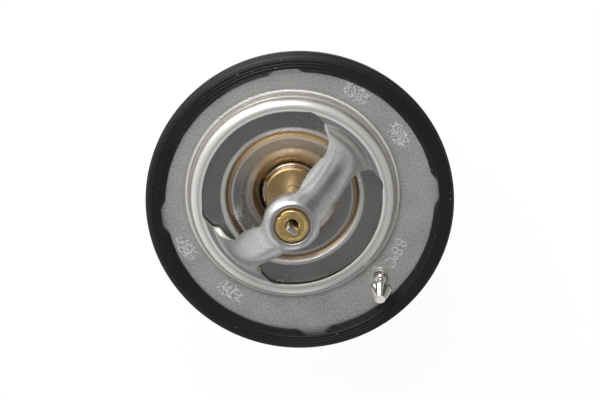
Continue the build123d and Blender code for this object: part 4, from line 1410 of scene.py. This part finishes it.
@dataclass
class Studio:
    """Camera, floor and soft light.

    Attributes:
        tilt: lean of the view from straight down, in degrees.
        distance_m: distance of the camera.
        lens: focal length.
        middle: where the flange's centre falls in the 600 by 400 frame.
        floor_z: height of the floor.
        floor_glow, floor_straight: the floor's own glow, and how much of it the camera sees.
        lamp_place_m, lamp_side_m, lamp_power: the lamp's place, the side of its square and its watts.
        panels: azimuth and level of the tent's low panels and gaps.
        tent: height and level of the tent above them.
        panel_fade: height and share where the panels fade out.
    """

    tilt: float = 17.0
    distance_m: float = 0.350
    lens: float = 108.0
    middle: Point = (299.8, 203.2)
    floor_z: float = -39.8
    floor_glow: float = 1.05
    floor_straight: float = 0.9
    lamp_place_m: tuple[float, float, float] = (-0.16, 0.46, 0.42)
    lamp_side_m: float = 0.35
    lamp_power: float = 2.5
    panels: tuple = (
        (-180, 0.85), (-150, 0.95), (-136, 0.9), (-115, 1.0), (-108, 0.2), (-100, 0.2), (-95, 1.1),
        (-80, 1.1),
        (-74, 0.25), (-62, 0.25), (-55, 0.8), (-46, 0.7), (-20, 0.45), (5, 0.42), (24, 0.14), (56, 0.1),
        (58, 1.1), (63, 1.1), (65, 0.1), (78, 0.1), (80, 1.2), (88, 1.2), (90, 0.1), (102, 0.1),
        (104, 1.7), (114, 1.7), (116, 0.3), (121, 0.3), (123, 2.4), (145, 2.4), (158, 1.2), (180, 0.85),
    )

    tent: tuple = ((0.0, 0.9), (0.35, 0.85), (0.6, 0.62), (0.8, 0.36), (0.93, 0.2), (1.0, 0.17))
    panel_fade: tuple = ((0.50, 1.0), (0.80, 0.0))

    def camera(self) -> None:
        """Sets the camera so that the flange's centre falls on its place in the frame."""
        data = bpy.data.cameras.new("studio_camera")
        data.lens, data.sensor_width = self.lens, 36.0
        data.clip_start, data.clip_end = 0.01, 10.0
        piece = bpy.data.objects.new("studio_camera", data)
        bpy.context.scene.collection.objects.link(piece)
        lean = radians(self.tilt)
        view, up = Vector((0, sin(lean), cos(lean))), Vector((0, cos(lean), -sin(lean)))
        right = up.cross(view)
        pixels = 600 * self.lens / 36
        shift_x = (self.middle[0] - 300) / pixels * self.distance_m
        shift_y = (200 - self.middle[1]) / pixels * self.distance_m
        place = view * self.distance_m - right * shift_x - up * shift_y
        matrix = Matrix((right, up, view)).transposed().to_4x4()
        matrix.translation = place
        piece.matrix_world = matrix
        bpy.context.scene.camera = piece

    def lamp(self) -> None:
        """Adds the one area lamp, far behind and above, pointed at the object."""
        data = bpy.data.lights.new("key_far", "AREA")
        data.shape, data.size, data.size_y = "RECTANGLE", self.lamp_side_m, self.lamp_side_m
        data.energy = self.lamp_power
        piece = bpy.data.objects.new("key_far", data)
        bpy.context.scene.collection.objects.link(piece)
        piece.location = self.lamp_place_m
        piece.rotation_euler = (-Vector(self.lamp_place_m)).to_track_quat("-Z", "Y").to_euler()

    def floor(self) -> bpy.types.Object:
        """Builds the pale floor; seen straight by the camera it is close to white."""
        mesh = bpy.data.meshes.new("floor")
        half, z = 0.24, self.floor_z * MM
        mesh.from_pydata(
            [(-half, -half, z), (half, -half, z), (half, half, z), (-half, half, z)], [], [(0, 1, 2, 3)]
        )
        piece = bpy.data.objects.new("floor", mesh)
        bpy.context.scene.collection.objects.link(piece)
        material = bpy.data.materials.new("floor_white")
        material.use_nodes = True
        tree = material.node_tree
        w = Wires(tree)
        tree.nodes.remove(tree.nodes["Principled BSDF"])
        plain = w.add("ShaderNodeBsdfDiffuse", {0: (0.80, 0.80, 0.80, 1)})
        glow = w.add("ShaderNodeEmission", {0: (1, 1, 1, 1), 1: self.floor_glow})
        straight = w.add("ShaderNodeLightPath").outputs["Is Camera Ray"]
        part = w.maths("MULTIPLY", straight, self.floor_straight)
        mix = w.add("ShaderNodeMixShader", {0: part, 1: plain.outputs[0], 2: glow.outputs[0]})
        tree.links.new(mix.outputs[0], tree.nodes["Material Output"].inputs["Surface"])
        mesh.materials.append(material)
        return piece

    def world(self) -> None:
        """White where the camera sees it; for the object a tent of pale panels with darker gaps.

        The tent's level falls towards the top. Low down it is multiplied by a band that goes round
        with the azimuth: pale at the left, dark at the right, with a few narrow gaps.
        """
        world = bpy.data.worlds.new("tent")
        bpy.context.scene.world = world
        world.use_nodes = True
        w = Wires(world.node_tree)
        back = world.node_tree.nodes["Background"]
        way = w.add("ShaderNodeTexCoord").outputs["Generated"]
        parts = w.add("ShaderNodeSeparateXYZ", {0: way})
        tent = w.levels(parts.outputs["Z"], self.tent)
        turn = w.add("ShaderNodeTexGradient", {0: way}, gradient_type="RADIAL").outputs["Fac"]
        band = w.levels(turn, self.panels, -180, 360)
        low = w.levels(parts.outputs["Z"], self.panel_fade)
        lit = w.mix(1.0, tent, w.mix(low, (1, 1, 1), band), blend_type="MULTIPLY")
        straight = w.add("ShaderNodeLightPath").outputs["Is Camera Ray"]
        w.tree.links.new(w.mix(straight, lit, (1, 1, 1)), back.inputs[0])
        back.inputs[1].default_value = 1.0

    def build(self) -> None:
        """Sets up everything round the object."""
        self.camera()
        self.world()
        self.floor()
        self.lamp()
        bpy.context.scene.view_settings.view_transform = "Standard"


# ---------------------------------------------------------------- the whole object


@dataclass
class Thermostat:
    """The dressed object.

    Attributes:
    """

    frame: dict
    finishes: dict = field(default_factory=dict)

    NODE_FINISH = {
        "flange_plate": "flange",
        "bridge": "bridge",
        "flange_gasket": "rim_rubber",
        "lower_frame": "frame",
        "piston_bush": "bush",
        "piston": "piston",
        "main_spring": "wire",
        "valve_disc": "valve",
        "valve_seal": "seal_rubber",
        "element_guide": "brass_top",
        "retaining_ring": "ring",
        "element_cup": "cup",
        "rubber_sleeve": "seal_rubber",
        "backup_ring": "wire",
        "wax_charge": "cup",
        "bypass_stem": "cup",
        "bypass_clip": "wire",
        "bypass_spring": "wire",
        "bypass_disc": "frame",
        "jiggle_pin": "pin",
    }

    def dress(self, piece: bpy.types.Object, finish: str) -> None:
        """Gives a piece one finish in all its slots."""
        material = self.finishes[finish]
        if not piece.material_slots:
            piece.data.materials.append(material)
        for slot in piece.material_slots:
            slot.material = material

    def add(
        self, piece: bpy.types.Object, body: Body, slot: str, finish: str, replaced: tuple[str, ...] = ()
    ) -> None:
        """Dresses a new piece, hangs it on its body and hides the CAD nodes that it stands for.

        Args:
            piece: the piece.
            body: the body it rides on.
            slot: material slot of the record that it takes after; not used.
            finish: its finish.
            replaced: CAD nodes that it stands for.
        """
        self.dress(piece, finish)
        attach(piece, body.value)
        if replaced:
            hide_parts(*replaced)
        LOG.info("piece %s on %s, %d faces", piece.name, body.value, len(piece.data.polygons))

    def build(self) -> None:
        """Dresses the CAD nodes and adds the finer pieces."""
        effects = Effects()
        self.finishes = {key: finish.build(effects) for key, finish in FINISHES.items()}
        for node, finish in self.NODE_FINISH.items():
            self.dress(self.frame["nodes"][node], finish)
        bridge = OutletBridge().build()
        self.add(bridge, Body.HOUSING, "bridge", "bridge", ("bridge",))
        bridge.data.materials.append(self.finishes["cut_edge"])
        self.add(MouldedGasket().build(), Body.HOUSING, "gasket", "rim_rubber", ("flange_gasket",))
        self.add(DishedValve().build(), Body.VALVE, "valve", "valve", ("valve_disc",))
        self.add(SealLip().build(), Body.VALVE, "seal", "seal_rubber", ("valve_seal",))
        self.add(TurnedPin().build(), Body.VENT_PIN, "vent_pin", "pin", ("jiggle_pin",))
        marks = FlangeMarks()
        for pieces, finish in ((marks.weld_prints(), "weld"), (marks.stamped_signs(), "stamp")):
            for piece in pieces:
                self.add(piece, Body.HOUSING, "flange", finish)
        self.add(StakedBush().build(), Body.HOUSING, "bush", "bush", ("piston_bush",))


def main() -> None:
    """Builds the dressed object and the studio."""
    logging.basicConfig(level=logging.INFO)
    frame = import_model()
    Studio().build()
    Thermostat(frame).build()


if __name__ == "__main__":
    main()
